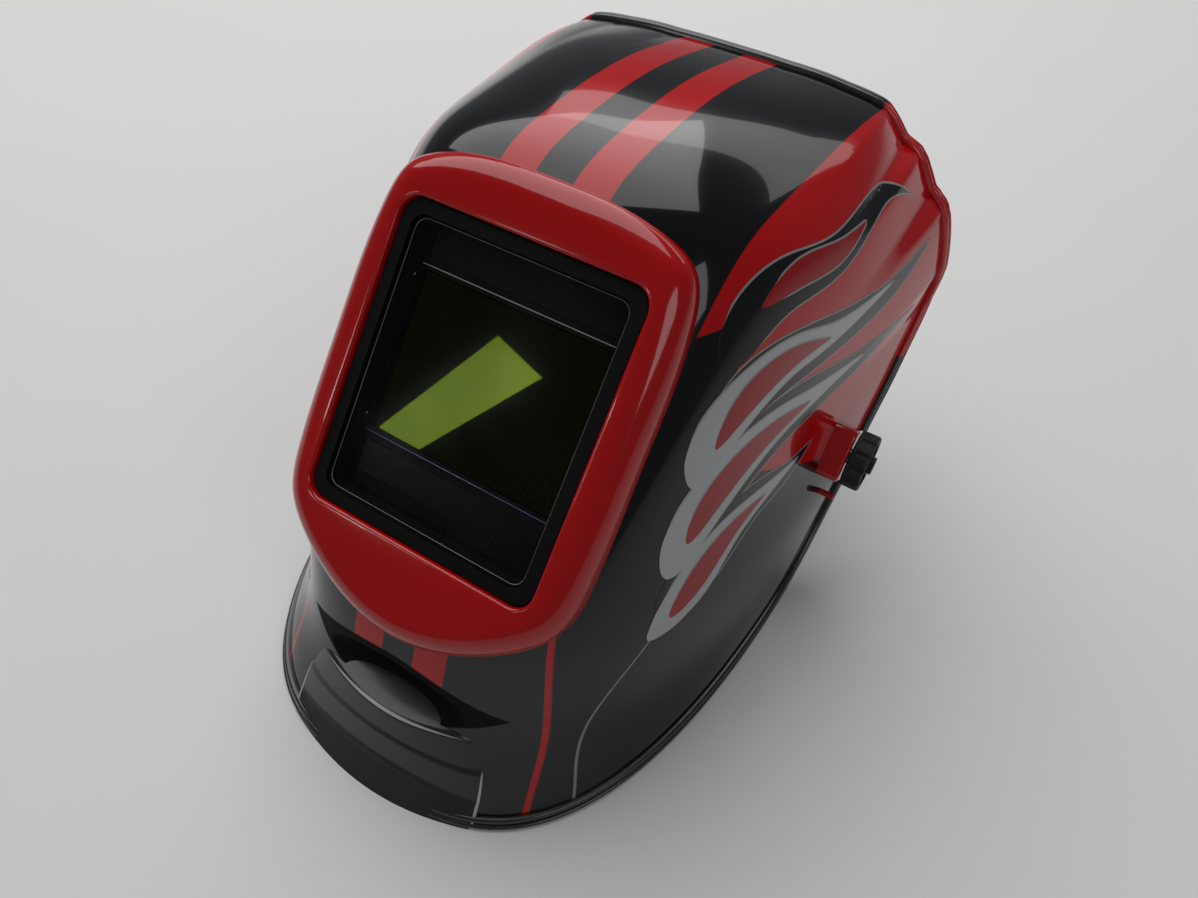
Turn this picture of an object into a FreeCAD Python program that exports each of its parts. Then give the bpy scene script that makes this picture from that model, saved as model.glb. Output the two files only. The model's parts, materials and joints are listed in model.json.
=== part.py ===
import FreeCAD, Part
import math
import os

os.makedirs("parts", exist_ok=True)

V = FreeCAD.Vector

# Driving dimensions, in millimetres and degrees.
# X runs to the wearer's left, Y to the back of the head, Z up; the jaw rim stands on Z = 0.
# It is laid out from a point under its brow, and saved with the middle of its length over the origin.
FRONT_Y = -181.0

# Window: its centre, and how far its face leans back from the vertical.
WINDOW_Y = -66.0
WINDOW_Z = 172.0
WINDOW_LEAN = 45.8
OPENING_W = 116.0
OPENING_H = 135.0
OPENING_R = 9.0

# Skin of the shell.
ARCH_POINTS = 21
HALF_SPAN = 170.0
WALL = 2.8
LIP_PROUD = 2.4
LIP_WIDTH = 7.0
GROOVE_PROUD = 0.9
GROOVE_START = 2.6
GROOVE_END = 4.2
REAR_RIM_Y = 162.0

# Pivot of the headgear in the side walls.
PIVOT_Y = 66.0
PIVOT_Z = 79.0
BOSS_SIZE = 28.0
BOSS_INNER_X = 117.0
BOSS_OUTER_X = 131.0
STUD_R = 4.0
RUNNING_GAP = 0.06

# Tension knob.
KNOB_R = 15.0
KNOB_DEPTH = 9.6
KNOB_GAP = 0.9
KNOB_LOBES = 12

# Headgear: how far it leans forward on the head, and the size of its ring.
HEADGEAR_LEAN = -28.0
RING_RX = 77.0
RING_RY = 97.0
RING_Y = 12.0
RING_Z = 25.0
BAND_T = 2.2
BAND_H = 28.0
ARM_X = 109.0
ARM_T = 3.0
ARM_H = 24.0
ARM_FOOT = 16.0

# Raised frame round the window, in the window's frame.
BEZEL_FRONT = 3.0
BEZEL_BACK = -24.0
BEZEL_ROUND = 8.0

# Chin guard and the mouth recess above it.
GUARD_ROUND = 2.0
RECESS_HALF_W = 50.0
RECESS_R = 11.0
RECESS_Y = -148.5
RECESS_Z = 58.0

# Pivot boss and the holes of the tilt stop.
BOSS_TURN = 45.0
STOP_RADIUS = 23.0
STOP_FIRST = 205.0
STOP_PITCH = 24.0
STOP_HOLES = 3
STOP_PEG_R = 1.6
STOP_PEG_X = 132.0
STOP_DISC_R = 14.0

# Seat of the window parts behind the bezel, and the tray's screws.
SEAT_N = -6.0
SEAT_W = 139.0
SEAT_H = 158.0
SEAT_R = 12.0
SCREW_X = 62.0
SCREW_Y = 71.5
SCREW_R = 1.5

# Cover lens and the sight opening of its gasket.
LENS_W = 103.0
LENS_H = 122.0
LENS_BACK = -3.0
SIGHT_W = 99.0
SIGHT_H = 118.0

# Auto-darkening cartridge behind the window; N is depth out of the window's face.
CARTRIDGE_W = 113.0
CARTRIDGE_H = 132.0
CARTRIDGE_T = 10.0
CARTRIDGE_FRONT_N = -10.5
CARTRIDGE_BACK_N = CARTRIDGE_FRONT_N - CARTRIDGE_T
TRAY_FRONT = -8.8
TRAY_BACK = -23.5
GLASS_W = 96.0
GLASS_H = 72.0
GLASS_U = 4.0
SOLAR_U = (52.0, -45.0)
SENSORS = ((-51.5, 36.0), (51.5, 36.0), (-51.5, -28.0), (51.5, -28.0))
PANEL_U = -50.0
PANEL_H = 22.0
DIAL_X = (-34.0, -8.0, 18.0)
DIAL_R = (9.5, 7.5, 7.5)
DIAL_FLUTES = 12
TEST_X = 38.0
DRAWER_L = 27.0
DRAWER_U = 52.0
LATCH_X = 34.0
FIT_GAP = 0.3
SEAM_TURN = 37.0

# Bands, pads and straps of the headgear, in the head's frame.
FRONT_BAND_END = 56.0
REAR_BAND_START = 22.0
PAD_T = 7.0
ARM_RIVETS = (-28.0, 50.0)
RIVET_R = 2.0
RIVET_SEAT = 1.1
STRAP_Y = (-12.0, 34.0)
STRAP_RISE = 92.0
STRAP_W = 18.0
STRAP_T = 1.8
STRAP_RIVET_R = 2.0
RATCHET_W = 62.0
RATCHET_H = 34.0
RATCHET_T = 12.0
RATCHET_KNOB_R = 19.0
RATCHET_KNOB_T = 11.0
KNOB_CHAMFER = 1.5


def save(name, shape):
    """Writes a part, moved back or forward so that the whole helmet is centred along Y."""
    moved = shape.translated(V(0, -(FRONT_Y + ratchet_back()) / 2, 0))
    moved.exportStep("parts/" + name + ".step")


def frame_placement(y, z, lean):
    """Placement of a frame at (0, y, z) turned about X."""
    return FreeCAD.Placement(V(0, y, z), FreeCAD.Rotation(V(1, 0, 0), lean))


WINDOW = frame_placement(WINDOW_Y, WINDOW_Z, WINDOW_LEAN)
HEADGEAR = frame_placement(PIVOT_Y, PIVOT_Z, HEADGEAR_LEAN)


def placed(shape, placement):
    """A copy of the shape carried from a local frame into the helmet's frame."""
    return shape.transformed(placement.toMatrix())


def mirrored_x(shape):
    return shape.mirror(V(0, 0, 0), V(1, 0, 0))


def fuse_all(shapes):
    return shapes[0].multiFuse(shapes[1:])


# ---------------------------------------------------------------- common forms


def box(x0, x1, y0, y1, z0, z1):
    return Part.makeBox(x1 - x0, y1 - y0, z1 - z0, V(x0, y0, z0))


def rounded_plate(width, height, radius, z0, z1, x=0.0, y=0.0):
    """Rounded rectangle centred at (x, y), from z0 to z1."""
    hw = width / 2
    hh = height / 2
    q = radius * (1 - math.sqrt(0.5))
    corners = []
    for sx, sy in ((1, 1), (-1, 1), (-1, -1), (1, -1)):
        a = V(x + sx * hw, y + sy * (hh - radius), z0)
        m = V(x + sx * (hw - q), y + sy * (hh - q), z0)
        b = V(x + sx * (hw - radius), y + sy * hh, z0)
        corners.append((a, m, b) if sx * sy > 0 else (b, m, a))
    edges = []
    for i in range(4):
        a, m, b = corners[i]
        edges.append(Part.Arc(a, m, b).toShape())
        edges.append(Part.LineSegment(b, corners[(i + 1) % 4][0]).toShape())
    return Part.Face(Part.Wire(edges)).extrude(V(0, 0, z1 - z0))


def x_cylinder(radius, x0, x1, y=0.0, z=0.0):
    return Part.makeCylinder(radius, x1 - x0, V(x0, y, z), V(1, 0, 0))


def side_holes(radius, y, z):
    """Matching round holes across both side walls of a band."""
    hole = x_cylinder(radius, 40, 120, y, z)
    hole.rotate(V(0, y, z), V(1, 0, 0), SEAM_TURN)
    return [hole, mirrored_x(hole)]


def z_cylinder(radius, z0, z1, x=0.0, y=0.0):
    return Part.makeCylinder(radius, z1 - z0, V(x, y, z0), V(0, 0, 1))


def side_prism(points, half_width):
    """Side outline of straight runs in the YZ plane, spread to both sides."""
    corners = [V(-half_width, y, z) for y, z in points]
    wire = Part.makePolygon(corners + [corners[0]])
    return Part.Face(wire).extrude(V(2 * half_width, 0, 0))


# ---------------------------------------------------------------- shell


class Arch:
    """One section of the skin: it springs from the rim on both sides and passes over the centre line.

    back and front are (y, z) of the springing line and of the centre line, width is the half width at
    the springing, taper what the walls draw in by at the front, and fullness the superellipse power."""

    def __init__(self, back, front, normal, width, taper, fullness):
        self.back = back
        self.front = front
        self.normal = math.radians(normal)
        self.width = width
        self.taper = taper
        self.fullness = fullness

    def points(self, offset):
        """Points of the section from one springing over to the other, moved outwards by the offset."""
        fy = self.front[0] + offset * math.cos(self.normal)
        fz = self.front[1] + offset * math.sin(self.normal)
        points = []
        for i in range(ARCH_POINTS):
            angle = math.pi * i / (ARCH_POINTS - 1)
            c = math.cos(angle)
            s = math.sin(angle)
            reach = (abs(c) ** self.fullness + s ** self.fullness) ** (-1 / self.fullness)
            r = reach * s
            x = (self.width + offset - self.taper * r) * reach * c
            y = self.back[0] + (fy - self.back[0]) * r
            z = self.back[1] + (fz - self.back[1]) * r
            points.append(V(x, y, z))
        return points


def window_point(u, n):
    """(y, z) of a point u up the window's face and n out of it, on the centre line."""
    lean = math.radians(WINDOW_LEAN)
    y = WINDOW_Y + u * math.cos(lean) - n * math.sin(lean)
    z = WINDOW_Z + u * math.sin(lean) + n * math.cos(lean)
    return y, z


# From below the chin, up the face and back over the crown.
ARCHES = (
    Arch((60, -20), (-187, -20), 151, 125, 0, 2.6),
    Arch((76, 2), (-168, 14), 151, 127, 3, 2.6),
    Arch((94, 24), (-150, 46), 150, 128.5, 9, 2.75),
    Arch((110, 42), window_point(-98, -12), 143, 130.5, 20, 3.5),
    Arch((124, 58), window_point(-55, -4.5), 138, 132, 36, 5.0),
    Arch((138, 72), window_point(0, -3), 136, 133.5, 42, 6),
    Arch((151, 84), window_point(50, -3), 134, 134, 42, 5.6),
    Arch((162, 94), window_point(88, -2.5), 115, 134, 38, 4.6),
    Arch((171, 102), (30, 240), 94, 133.5, 31, 4.0),
    Arch((178, 109), (84, 235.5), 82, 133, 23, 3.8),
    Arch((184, 115), (134, 223.5), 75, 132, 16, 3.8),
    Arch((190, 120), (184, 208), 73, 131, 12, 3.8),
)


def skin(offset):
    """Solid inside the skin, moved outwards by the offset."""
    grid = [arch.points(offset) for arch in ARCHES]
    surface = Part.BSplineSurface()
    surface.interpolate(grid)
    over = surface.toShape()
    left = surface.vIso(surface.bounds()[2]).toShape()
    right = surface.vIso(surface.bounds()[3]).toShape()
    faces = [over, Part.makeRuledSurface(left, right)]
    for u in surface.bounds()[:2]:
        section = surface.uIso(u).toShape()
        ends = [vertex.Point for vertex in section.Vertexes]
        chord = Part.LineSegment(ends[1], ends[0]).toShape()
        faces.append(Part.Face(Part.Wire([section, chord])))
    shell = Part.Shell(faces)
    shell.sewShape()
    solid = Part.Solid(shell)
    if solid.Volume < 0:
        solid.reverse()
    return solid


def rim_outline(inset):
    """What the rim keeps of the skin, in side view: flat under the jaw, up past the pivot, upright behind."""
    start = V(0, -220, 0)
    jaw = V(0, 22, 0)
    low = V(0, 57, 17)
    high = V(0, 150, 112)
    heel = V(0, REAR_RIM_Y, 130)
    top = V(0, REAR_RIM_Y - 2, 300)
    edges = [
        Part.LineSegment(start, jaw).toShape(),
        Part.Arc(jaw, V(0, 41, 5.5), low).toShape(),
        Part.LineSegment(low, high).toShape(),
        Part.Arc(high, V(0, 159, 119), heel).toShape(),
        Part.LineSegment(heel, top).toShape(),
        Part.LineSegment(top, V(0, -220, 300)).toShape(),
        Part.LineSegment(V(0, -220, 300), start).toShape(),
    ]
    face = Part.Face(Part.Wire(edges))
    if inset:
        face = Part.Face(face.OuterWire.makeOffset2D(-inset, 2))
    return face


def across(face):
    """Side outline spread over the whole width of the helmet."""
    body = face.extrude(V(2 * HALF_SPAN, 0, 0))
    body.translate(V(-HALF_SPAN, 0, 0))
    return body


def rim_lip():
    """Rolled lip round the whole open edge: two ridges with a groove between them."""
    whole = rim_outline(0)
    groove_start = rim_outline(GROOVE_START)
    groove_end = rim_outline(GROOVE_END)
    lip_end = rim_outline(LIP_WIDTH)
    ridge = skin(LIP_PROUD)
    groove = skin(GROOVE_PROUD)
    return [
        ridge.common(across(whole.cut(groove_start))),
        groove.common(across(groove_start.cut(groove_end))),
        ridge.common(across(groove_end.cut(lip_end))),
    ]


def bezel():
    """Raised frame round the window: straight sides, and a lower edge bowed like a smile."""
    right = ((46, 89), (66, 80), (73.5, 60), (76, 5), (75.5, -50), (71.5, -73), (56, -90))
    left = [(-x, u) for x, u in reversed(right)]
    outline = [(0, 93)] + list(right) + [(0, -110)] + left
    curve = Part.BSplineCurve()
    curve.interpolate([V(x, u, BEZEL_BACK) for x, u in outline], PeriodicFlag=True)
    block = Part.Face(Part.Wire(curve.toShape())).extrude(V(0, 0, BEZEL_FRONT - BEZEL_BACK))
    rim = [edge for edge in block.Edges if edge.BoundBox.ZMin > BEZEL_FRONT - 0.01]
    return placed(block.makeFillet(BEZEL_ROUND, rim), WINDOW)


def chin_guard():
    """Tongue-shaped guard that flares forward from under the mouth recess to the jaw rim."""
    rows = []
    for z, half, front, side in ((0, 55.5, -181, -169.5), (24, 53, -169, -157), (46, 47.5, -158, -143)):
        back = -100
        arc = Part.Arc(V(-half, side, z), V(0, front, z), V(half, side, z)).toShape()
        behind = [V(half, side, z), V(half - 6, back, z), V(6 - half, back, z), V(-half, side, z)]
        path = Part.makePolygon(behind)
        rows.append(Part.Wire([arc] + path.Edges))
    guard = Part.makeLoft(rows, True, False)
    rim = [edge for edge in guard.Edges if edge.BoundBox.ZMin > 45.9 and edge.BoundBox.YMax < -142]
    return guard.makeFillet(GUARD_ROUND, rim)


def mouth_recess(wall):
    """Almond hollow above the chin guard, grown by the wall for the inner skin."""
    half = RECESS_HALF_W + wall
    low = V(-half, RECESS_Y, RECESS_Z)
    high = V(half, RECESS_Y, RECESS_Z)
    arc = Part.Arc(low, V(0, RECESS_Y + RECESS_R + wall, RECESS_Z), high).toShape()
    axis = Part.LineSegment(high, low).toShape()
    return Part.Face(Part.Wire([arc, axis])).revolve(V(0, RECESS_Y, RECESS_Z), V(1, 0, 0), 360)


def pivot_boss(side):
    """Square boss through the side wall, turned to lie along the rim."""
    half = BOSS_SIZE / 2
    block = box(BOSS_INNER_X, BOSS_OUTER_X, -half, half, -half, half)
    upright = [edge for edge in block.Edges if abs(edge.tangentAt(edge.FirstParameter).x) > 0.9]
    block = block.makeFillet(2.0, upright)
    block = placed(block, frame_placement(PIVOT_Y, PIVOT_Z, BOSS_TURN))
    return block if side > 0 else mirrored_x(block)


def pivot_holes(side):
    """Bore for the pivot stud, and the row of peg holes of the tilt stop."""
    cuts = [x_cylinder(STUD_R + RUNNING_GAP, 90, 150, PIVOT_Y, PIVOT_Z)]
    for step in range(STOP_HOLES):
        y, z = stop_hole(step)
        cuts.append(x_cylinder(STOP_PEG_R + 0.25, 100, 150, y, z))
    shape = fuse_all(cuts)
    return shape if side > 0 else mirrored_x(shape)


def stop_hole(step):
    """Centre of one peg hole, on an arc about the pivot."""
    angle = math.radians(STOP_FIRST + STOP_PITCH * step)
    return PIVOT_Y + STOP_RADIUS * math.cos(angle), PIVOT_Z + STOP_RADIUS * math.sin(angle)


def helmet_shell():
    outside = skin(0).fuse(bezel()).fuse(chin_guard())
    outside = outside.cut(mouth_recess(0))
    outside = outside.common(across(rim_outline(0)))
    outside = outside.multiFuse(rim_lip())
    inside = skin(-WALL).cut(mouth_recess(WALL))
    shell = outside.cut(inside)
    shell = shell.multiFuse([pivot_boss(1), pivot_boss(-1)])
    opening = rounded_plate(OPENING_W, OPENING_H, OPENING_R, -45, 10)
    seat = rounded_plate(SEAT_W, SEAT_H, SEAT_R, -45, SEAT_N)
    screws = [z_cylinder(SCREW_R, -20, SEAT_N + 5, x, y) for x, y in carrier_corners()]
    cuts = [placed(tool, WINDOW) for tool in [opening, seat] + screws]
    return shell.cut(cuts + [pivot_holes(1), pivot_holes(-1)])


# ---------------------------------------------------------------- window and filter


def carrier_corners():
    return [(sx * SCREW_X, sy * SCREW_Y) for sx in (1, -1) for sy in (1, -1)]


def window_gasket():
    """Black frame clipped in the opening, with a flange behind and a ledge for the cover lens."""
    neck = rounded_plate(OPENING_W - 2 * FIT_GAP, OPENING_H - 2 * FIT_GAP, OPENING_R, SEAT_N - 0.2, 0.6)
    lip = [edge for edge in neck.Edges if edge.BoundBox.ZMin > 0.55]
    neck = neck.makeChamfer(0.5, lip)
    flange = rounded_plate(OPENING_W + 6, OPENING_H + 6, OPENING_R, SEAT_N - 2.4, SEAT_N - 0.2)
    sight = rounded_plate(SIGHT_W, SIGHT_H, 5, -20, 5)
    ledge = rounded_plate(LENS_W + 0.6, LENS_H + 0.6, 6.3, LENS_BACK - 0.05, 5)
    return neck.fuse(flange).cut(sight.fuse(ledge))


def cover_lens():
    lens = rounded_plate(LENS_W, LENS_H, 6, LENS_BACK, LENS_BACK + 1.5)
    edge = [edge for edge in lens.Edges if edge.BoundBox.ZMin > LENS_BACK + 1.4]
    return lens.makeChamfer(0.6, edge)


def filter_carrier():
    """Moulded tray screwed behind the window; the cartridge drops in from inside."""
    flange = rounded_plate(SEAT_W - 2, SEAT_H - 2, SEAT_R, TRAY_FRONT - 3, TRAY_FRONT)
    walls = rounded_plate(CARTRIDGE_W + 6, CARTRIDGE_H + 6, 6, TRAY_BACK, TRAY_FRONT - 3)
    ears = [z_cylinder(4.4, TRAY_FRONT - 3, SEAT_N, x, y) for x, y in carrier_corners()]
    tray = fuse_all([flange, walls] + ears)
    pocket = rounded_plate(CARTRIDGE_W + 0.8, CARTRIDGE_H + 0.8, 3.4, TRAY_BACK - 1, TRAY_FRONT - 1.5)
    front = rounded_plate(CARTRIDGE_W - 7, CARTRIDGE_H - 7, 3, TRAY_BACK, TRAY_FRONT + 1)
    holes = [z_cylinder(1.7, TRAY_BACK, SEAT_N + 1, x, y) for x, y in carrier_corners()]
    guides = []
    top = CARTRIDGE_H / 2
    for x in (-LATCH_X, LATCH_X):
        guides.append(box(x - 8, x + 8, top + 0.4, top + 9, TRAY_BACK, TRAY_FRONT - 3))
    drawer_notch = box(-CARTRIDGE_W / 2 - 5, -CARTRIDGE_W / 2 + 1, DRAWER_U - 12.6, DRAWER_U + 12.6,
                       TRAY_BACK - 1, CARTRIDGE_BACK_N + 6.8)
    return tray.multiFuse(guides).cut([pocket, front, drawer_notch] + holes)


def carrier_screws():
    """Pan-head screws through the tray's four corners."""
    screws = []
    for x, y in carrier_corners():
        head = Part.makeCone(2.0, 3.0, 1.8, V(x, y, TRAY_FRONT - 4.9))
        shank = z_cylinder(SCREW_R - 0.05, TRAY_FRONT - 3.1, SEAT_N + 4.5, x, y)
        slot = box(x - 2.2, x + 2.2, y - 0.4, y + 0.4, TRAY_FRONT - 5, TRAY_FRONT - 4.1)
        screws.append(head.fuse(shank).cut(slot))
    return Part.makeCompound(screws)


def filter_housing():
    """Cartridge body: glass recess, two solar recesses, sensor wells, and a control panel at the back."""
    back = CARTRIDGE_BACK_N
    body = rounded_plate(CARTRIDGE_W, CARTRIDGE_H, 3, back, CARTRIDGE_FRONT_N)
    panel = rounded_plate(98, PANEL_H, 4, back - 3.5, back + 1, 0, PANEL_U)
    glass = rounded_plate(GLASS_W + 0.4, GLASS_H + 0.4, 2, back + 4, 0, 0, GLASS_U)
    view = rounded_plate(GLASS_W - 6, GLASS_H - 6, 2, back - 5, 0, 0, GLASS_U)
    cuts = [glass, view]
    for u in SOLAR_U:
        cuts.append(rounded_plate(92.4, 14.4, 1, CARTRIDGE_FRONT_N - 1.4, 0, 0, u))
    for x, u in SENSORS:
        cuts.append(z_cylinder(2.7, CARTRIDGE_FRONT_N - 2.6, 0, x, u))
    for x in DIAL_X:
        cuts.append(z_cylinder(2.5 + RUNNING_GAP, back - 8, back + 1, x, PANEL_U))
    cuts.append(rounded_plate(6.6, 6.6, 1.2, back - 8, back + 3, TEST_X, PANEL_U))
    cuts.append(drawer_block(0.3, 0.3))
    return body.fuse(panel).cut(cuts)


def lcd_glass():
    back = CARTRIDGE_BACK_N
    glass = rounded_plate(GLASS_W, GLASS_H, 1.8, back + 4.05, CARTRIDGE_FRONT_N - 0.6, 0, GLASS_U)
    front = [edge for edge in glass.Edges if edge.BoundBox.ZMin > CARTRIDGE_FRONT_N - 0.7]
    return glass.makeChamfer(0.5, front)


def solar_strips():
    strips = []
    for u in SOLAR_U:
        strips.append(rounded_plate(92, 14, 0.8, CARTRIDGE_FRONT_N - 1.35, CARTRIDGE_FRONT_N - 0.2, 0, u))
    return Part.makeCompound(strips)


def arc_sensors():
    """Four domed photodiodes beside the corners of the glass."""
    domes = []
    for x, u in SENSORS:
        stem = z_cylinder(2.4, CARTRIDGE_FRONT_N - 2.5, CARTRIDGE_FRONT_N - 1.2, x, u)
        dome = Part.makeSphere(2.4, V(x, u, CARTRIDGE_FRONT_N - 2.4))
        cap = dome.common(z_cylinder(3, CARTRIDGE_FRONT_N - 1.2, 0, x, u))
        domes.append(stem.fuse(cap))
    return Part.makeCompound(domes)


def inner_cover_lens():
    back = CARTRIDGE_BACK_N
    return rounded_plate(GLASS_W + 6, GLASS_H + 6, 3, back - 1.4, back - 0.2, 0, GLASS_U)


def retainer_frame():
    """Ring that holds the cartridge in the tray, with thumb notches."""
    back = CARTRIDGE_BACK_N
    ring = rounded_plate(CARTRIDGE_W, CARTRIDGE_H, 3, TRAY_BACK + 0.2, back - 0.1)
    hole = rounded_plate(CARTRIDGE_W - 9, CARTRIDGE_H - 7, 3, TRAY_BACK - 1, back + 1)
    notches = [z_cylinder(7, TRAY_BACK - 1, back + 1, sx * CARTRIDGE_W / 2 + sx * 4, 0) for sx in (1, -1)]
    return ring.cut([hole] + notches)


def latch(x):
    """Sliding thumb latch over the retainer's top edge."""
    plate = rounded_plate(14, 11, 2, TRAY_BACK - 2.1, TRAY_BACK - 0.2, x, CARTRIDGE_H / 2 + 1.5)
    ribs = []
    for rise in (0.5, 2.5, 4.5):
        low = CARTRIDGE_H / 2 + rise
        ribs.append(box(x - 5, x + 5, low, low + 1, TRAY_BACK - 3, TRAY_BACK - 2.1))
    return fuse_all([plate] + ribs)


def control_dial(x, radius):
    """Knurled dial with a pointer groove, its shaft in the control panel."""
    face = CARTRIDGE_BACK_N - 3.5
    cap = z_cylinder(radius, face - 4.5, face - 0.3, x, PANEL_U)
    shaft = z_cylinder(2.5, face - 0.4, face + 4.2, x, PANEL_U)
    cuts = []
    for i in range(DIAL_FLUTES):
        angle = 2 * math.pi * i / DIAL_FLUTES
        reach = radius + 0.5
        flute_x = x + reach * math.cos(angle)
        flute_u = PANEL_U + reach * math.sin(angle)
        cuts.append(z_cylinder(1.0, face - 6, face - 1.2, flute_x, flute_u))
    cuts.append(box(x - 0.5, x + 0.5, PANEL_U, PANEL_U + radius, face - 5, face - 3.9))
    return cap.fuse(shaft).cut(cuts)


def test_button():
    face = CARTRIDGE_BACK_N - 3.5
    button = rounded_plate(6, 6, 1, face - 1.6, face + 3, TEST_X, PANEL_U)
    top = [edge for edge in button.Edges if edge.BoundBox.ZMax < face - 1.5]
    return button.makeFillet(0.5, top)


def drawer_block(grow_xy, grow_n):
    """Space of the battery drawer in the cartridge's edge."""
    back = CARTRIDGE_BACK_N
    return box(-CARTRIDGE_W / 2 - 1, -CARTRIDGE_W / 2 + DRAWER_L + grow_xy, DRAWER_U - 12 - grow_xy,
               DRAWER_U + 12 + grow_xy, back + 2.2 - grow_n, back + 6.2 + grow_n)


def battery_drawer():
    """Drawer for a coin cell, pulled out sideways by its grip."""
    back = CARTRIDGE_BACK_N
    tray = drawer_block(0, 0).common(box(-CARTRIDGE_W / 2, 0, -70, 70, -40, 0))
    well = z_cylinder(10.2, back + 3.4, 0, -CARTRIDGE_W / 2 + 13, DRAWER_U)
    grip = box(-CARTRIDGE_W / 2 + 0.8, -CARTRIDGE_W / 2 + 1.8, DRAWER_U - 6, DRAWER_U + 6, back + 2, back + 3)
    return tray.cut([well, grip])


def coin_cell():
    back = CARTRIDGE_BACK_N
    return z_cylinder(10, back + 3.45, back + 6.0, -CARTRIDGE_W / 2 + 13, DRAWER_U)


# ---------------------------------------------------------------- pivots and knobs


def tilt_stop(side):
    """Disc behind the boss whose peg sits in one of the wall's holes."""
    disc = x_cylinder(STOP_DISC_R, BOSS_INNER_X - 2.8, BOSS_INNER_X - 0.2, PIVOT_Y, PIVOT_Z)
    y, z = stop_hole(1)
    pad = x_cylinder(4.5, BOSS_INNER_X - 2.8, BOSS_INNER_X - 0.2, y, z)
    peg = x_cylinder(STOP_PEG_R, BOSS_INNER_X - 0.3, STOP_PEG_X, y, z)
    link = box(BOSS_INNER_X - 2.8, BOSS_INNER_X - 0.2, 0, STOP_RADIUS, -4.5, 4.5)
    link = placed(link, frame_placement(PIVOT_Y, PIVOT_Z, STOP_FIRST + STOP_PITCH))
    bore = x_cylinder(STUD_R + 1, 100, 150, PIVOT_Y, PIVOT_Z)
    shape = fuse_all([disc, pad, peg, link]).cut(bore)
    return shape if side > 0 else mirrored_x(shape)


def tension_knob(side):
    """Fluted knob: a lobed rim, a dished face with spokes and a hub nut."""
    x0 = BOSS_OUTER_X + KNOB_GAP
    x1 = x0 + KNOB_DEPTH
    body = x_cylinder(KNOB_R, x0, x1)
    rims = [edge for edge in body.Edges if abs(edge.BoundBox.XMax - edge.BoundBox.XMin) < 0.01]
    body = body.makeChamfer(0.8, rims)
    cuts = []
    for i in range(KNOB_LOBES):
        angle = 2 * math.pi * i / KNOB_LOBES
        reach = KNOB_R + 0.9
        cuts.append(x_cylinder(2.0, x0 + 2, x1 + 1, reach * math.cos(angle), reach * math.sin(angle)))
    dish = x_cylinder(KNOB_R - 3.2, x1 - 6, x1 + 1).cut(x_cylinder(KNOB_R - 9.5, x1 - 7, x1 + 2))
    spokes = [box(x1 - 6, x1 - 1.2, -KNOB_R + 2, KNOB_R - 2, -1.1, 1.1)]
    spokes.append(spokes[0].rotated(V(0, 0, 0), V(1, 0, 0), 60))
    spokes.append(spokes[0].rotated(V(0, 0, 0), V(1, 0, 0), 120))
    cuts.append(dish.cut(spokes))
    body = body.cut(cuts)
    hub = x_cylinder(4.6, x1 - 1, x1 + 2.2)
    bore = x_cylinder(STUD_R + RUNNING_GAP, x0 - 1, x1 - 2)
    body = body.fuse(hub).cut(bore)
    body = placed(body, frame_placement(PIVOT_Y, PIVOT_Z, 0))
    return body if side > 0 else mirrored_x(body)


def pivot_stud(side):
    """Square-headed stud from the side arm out through the boss into the knob."""
    shaft = x_cylinder(STUD_R, ARM_X - 1, BOSS_OUTER_X + KNOB_DEPTH - 2)
    head = box(ARM_X - ARM_T - 4, ARM_X - ARM_T - 0.2, -7, 7, -7, 7)
    neck = x_cylinder(STUD_R, ARM_X - ARM_T - 0.3, ARM_X)
    body = fuse_all([shaft, head, neck])
    body = placed(body, HEADGEAR)
    return body if side > 0 else mirrored_x(body)


def friction_washer(side):
    """Spring washer pressed between the side arm and the tilt stop."""
    ring = x_cylinder(11, ARM_X + 0.2, BOSS_INNER_X - 3.1, PIVOT_Y, PIVOT_Z)
    ring = ring.cut(x_cylinder(STUD_R + 0.4, 90, 130, PIVOT_Y, PIVOT_Z))
    return ring if side > 0 else mirrored_x(ring)


# ---------------------------------------------------------------- headgear, in the head's own frame


def ring_half_width(y, grow=0.0):
    """Half width of the head ring, grown outwards, at y."""
    ratio = (y - RING_Y) / (RING_RY + grow)
    return (RING_RX + grow) * math.sqrt(1 - ratio * ratio)


def ellipse_wall(grow, thickness, z0, z1):
    """Upright elliptical wall round the head."""
    turn = FreeCAD.Rotation(V(0, 0, 1), 90)
    solids = []
    for g in (grow + thickness, grow):
        curve = Part.Ellipse(V(0, 0, 0), RING_RY + g, RING_RX + g)
        face = Part.Face(Part.Wire(curve.toShape()))
        body = face.extrude(V(0, 0, z1 - z0))
        body.Placement = FreeCAD.Placement(V(0, RING_Y, z0), turn)
        solids.append(body)
    return solids[0].cut(solids[1])


def front_band():
    """Forehead band: deep at the brow and narrower over the ears, with two rows of slots."""
    half = BAND_H / 2
    wall = ellipse_wall(0, BAND_T, RING_Z - half - 1, RING_Z + half + 1)
    outline = side_prism([(-95, RING_Z - half), (-95, RING_Z + half), (-30, RING_Z + half), (10, RING_Z + 9),
                          (FRONT_BAND_END, RING_Z + 9), (FRONT_BAND_END, RING_Z - 9), (10, RING_Z - 9),
                          (-30, RING_Z - half)], 120)
    band = wall.common(outline)
    slots = []
    for i in range(-3, 4):
        slot = box(-4.5, 4.5, -120, 0, RING_Z - 2, RING_Z + 2)
        slots.append(slot.rotated(V(0, RING_Y, 0), V(0, 0, 1), 11 * i))
    holes = []
    for y in ARM_RIVETS:
        holes += side_holes(RIVET_R + 0.1, y, RING_Z)
    for y in STRAP_Y:
        holes += side_holes(STRAP_RIVET_R + 0.1, y, RING_Z + 2)
    return band.cut(slots + holes)


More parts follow.
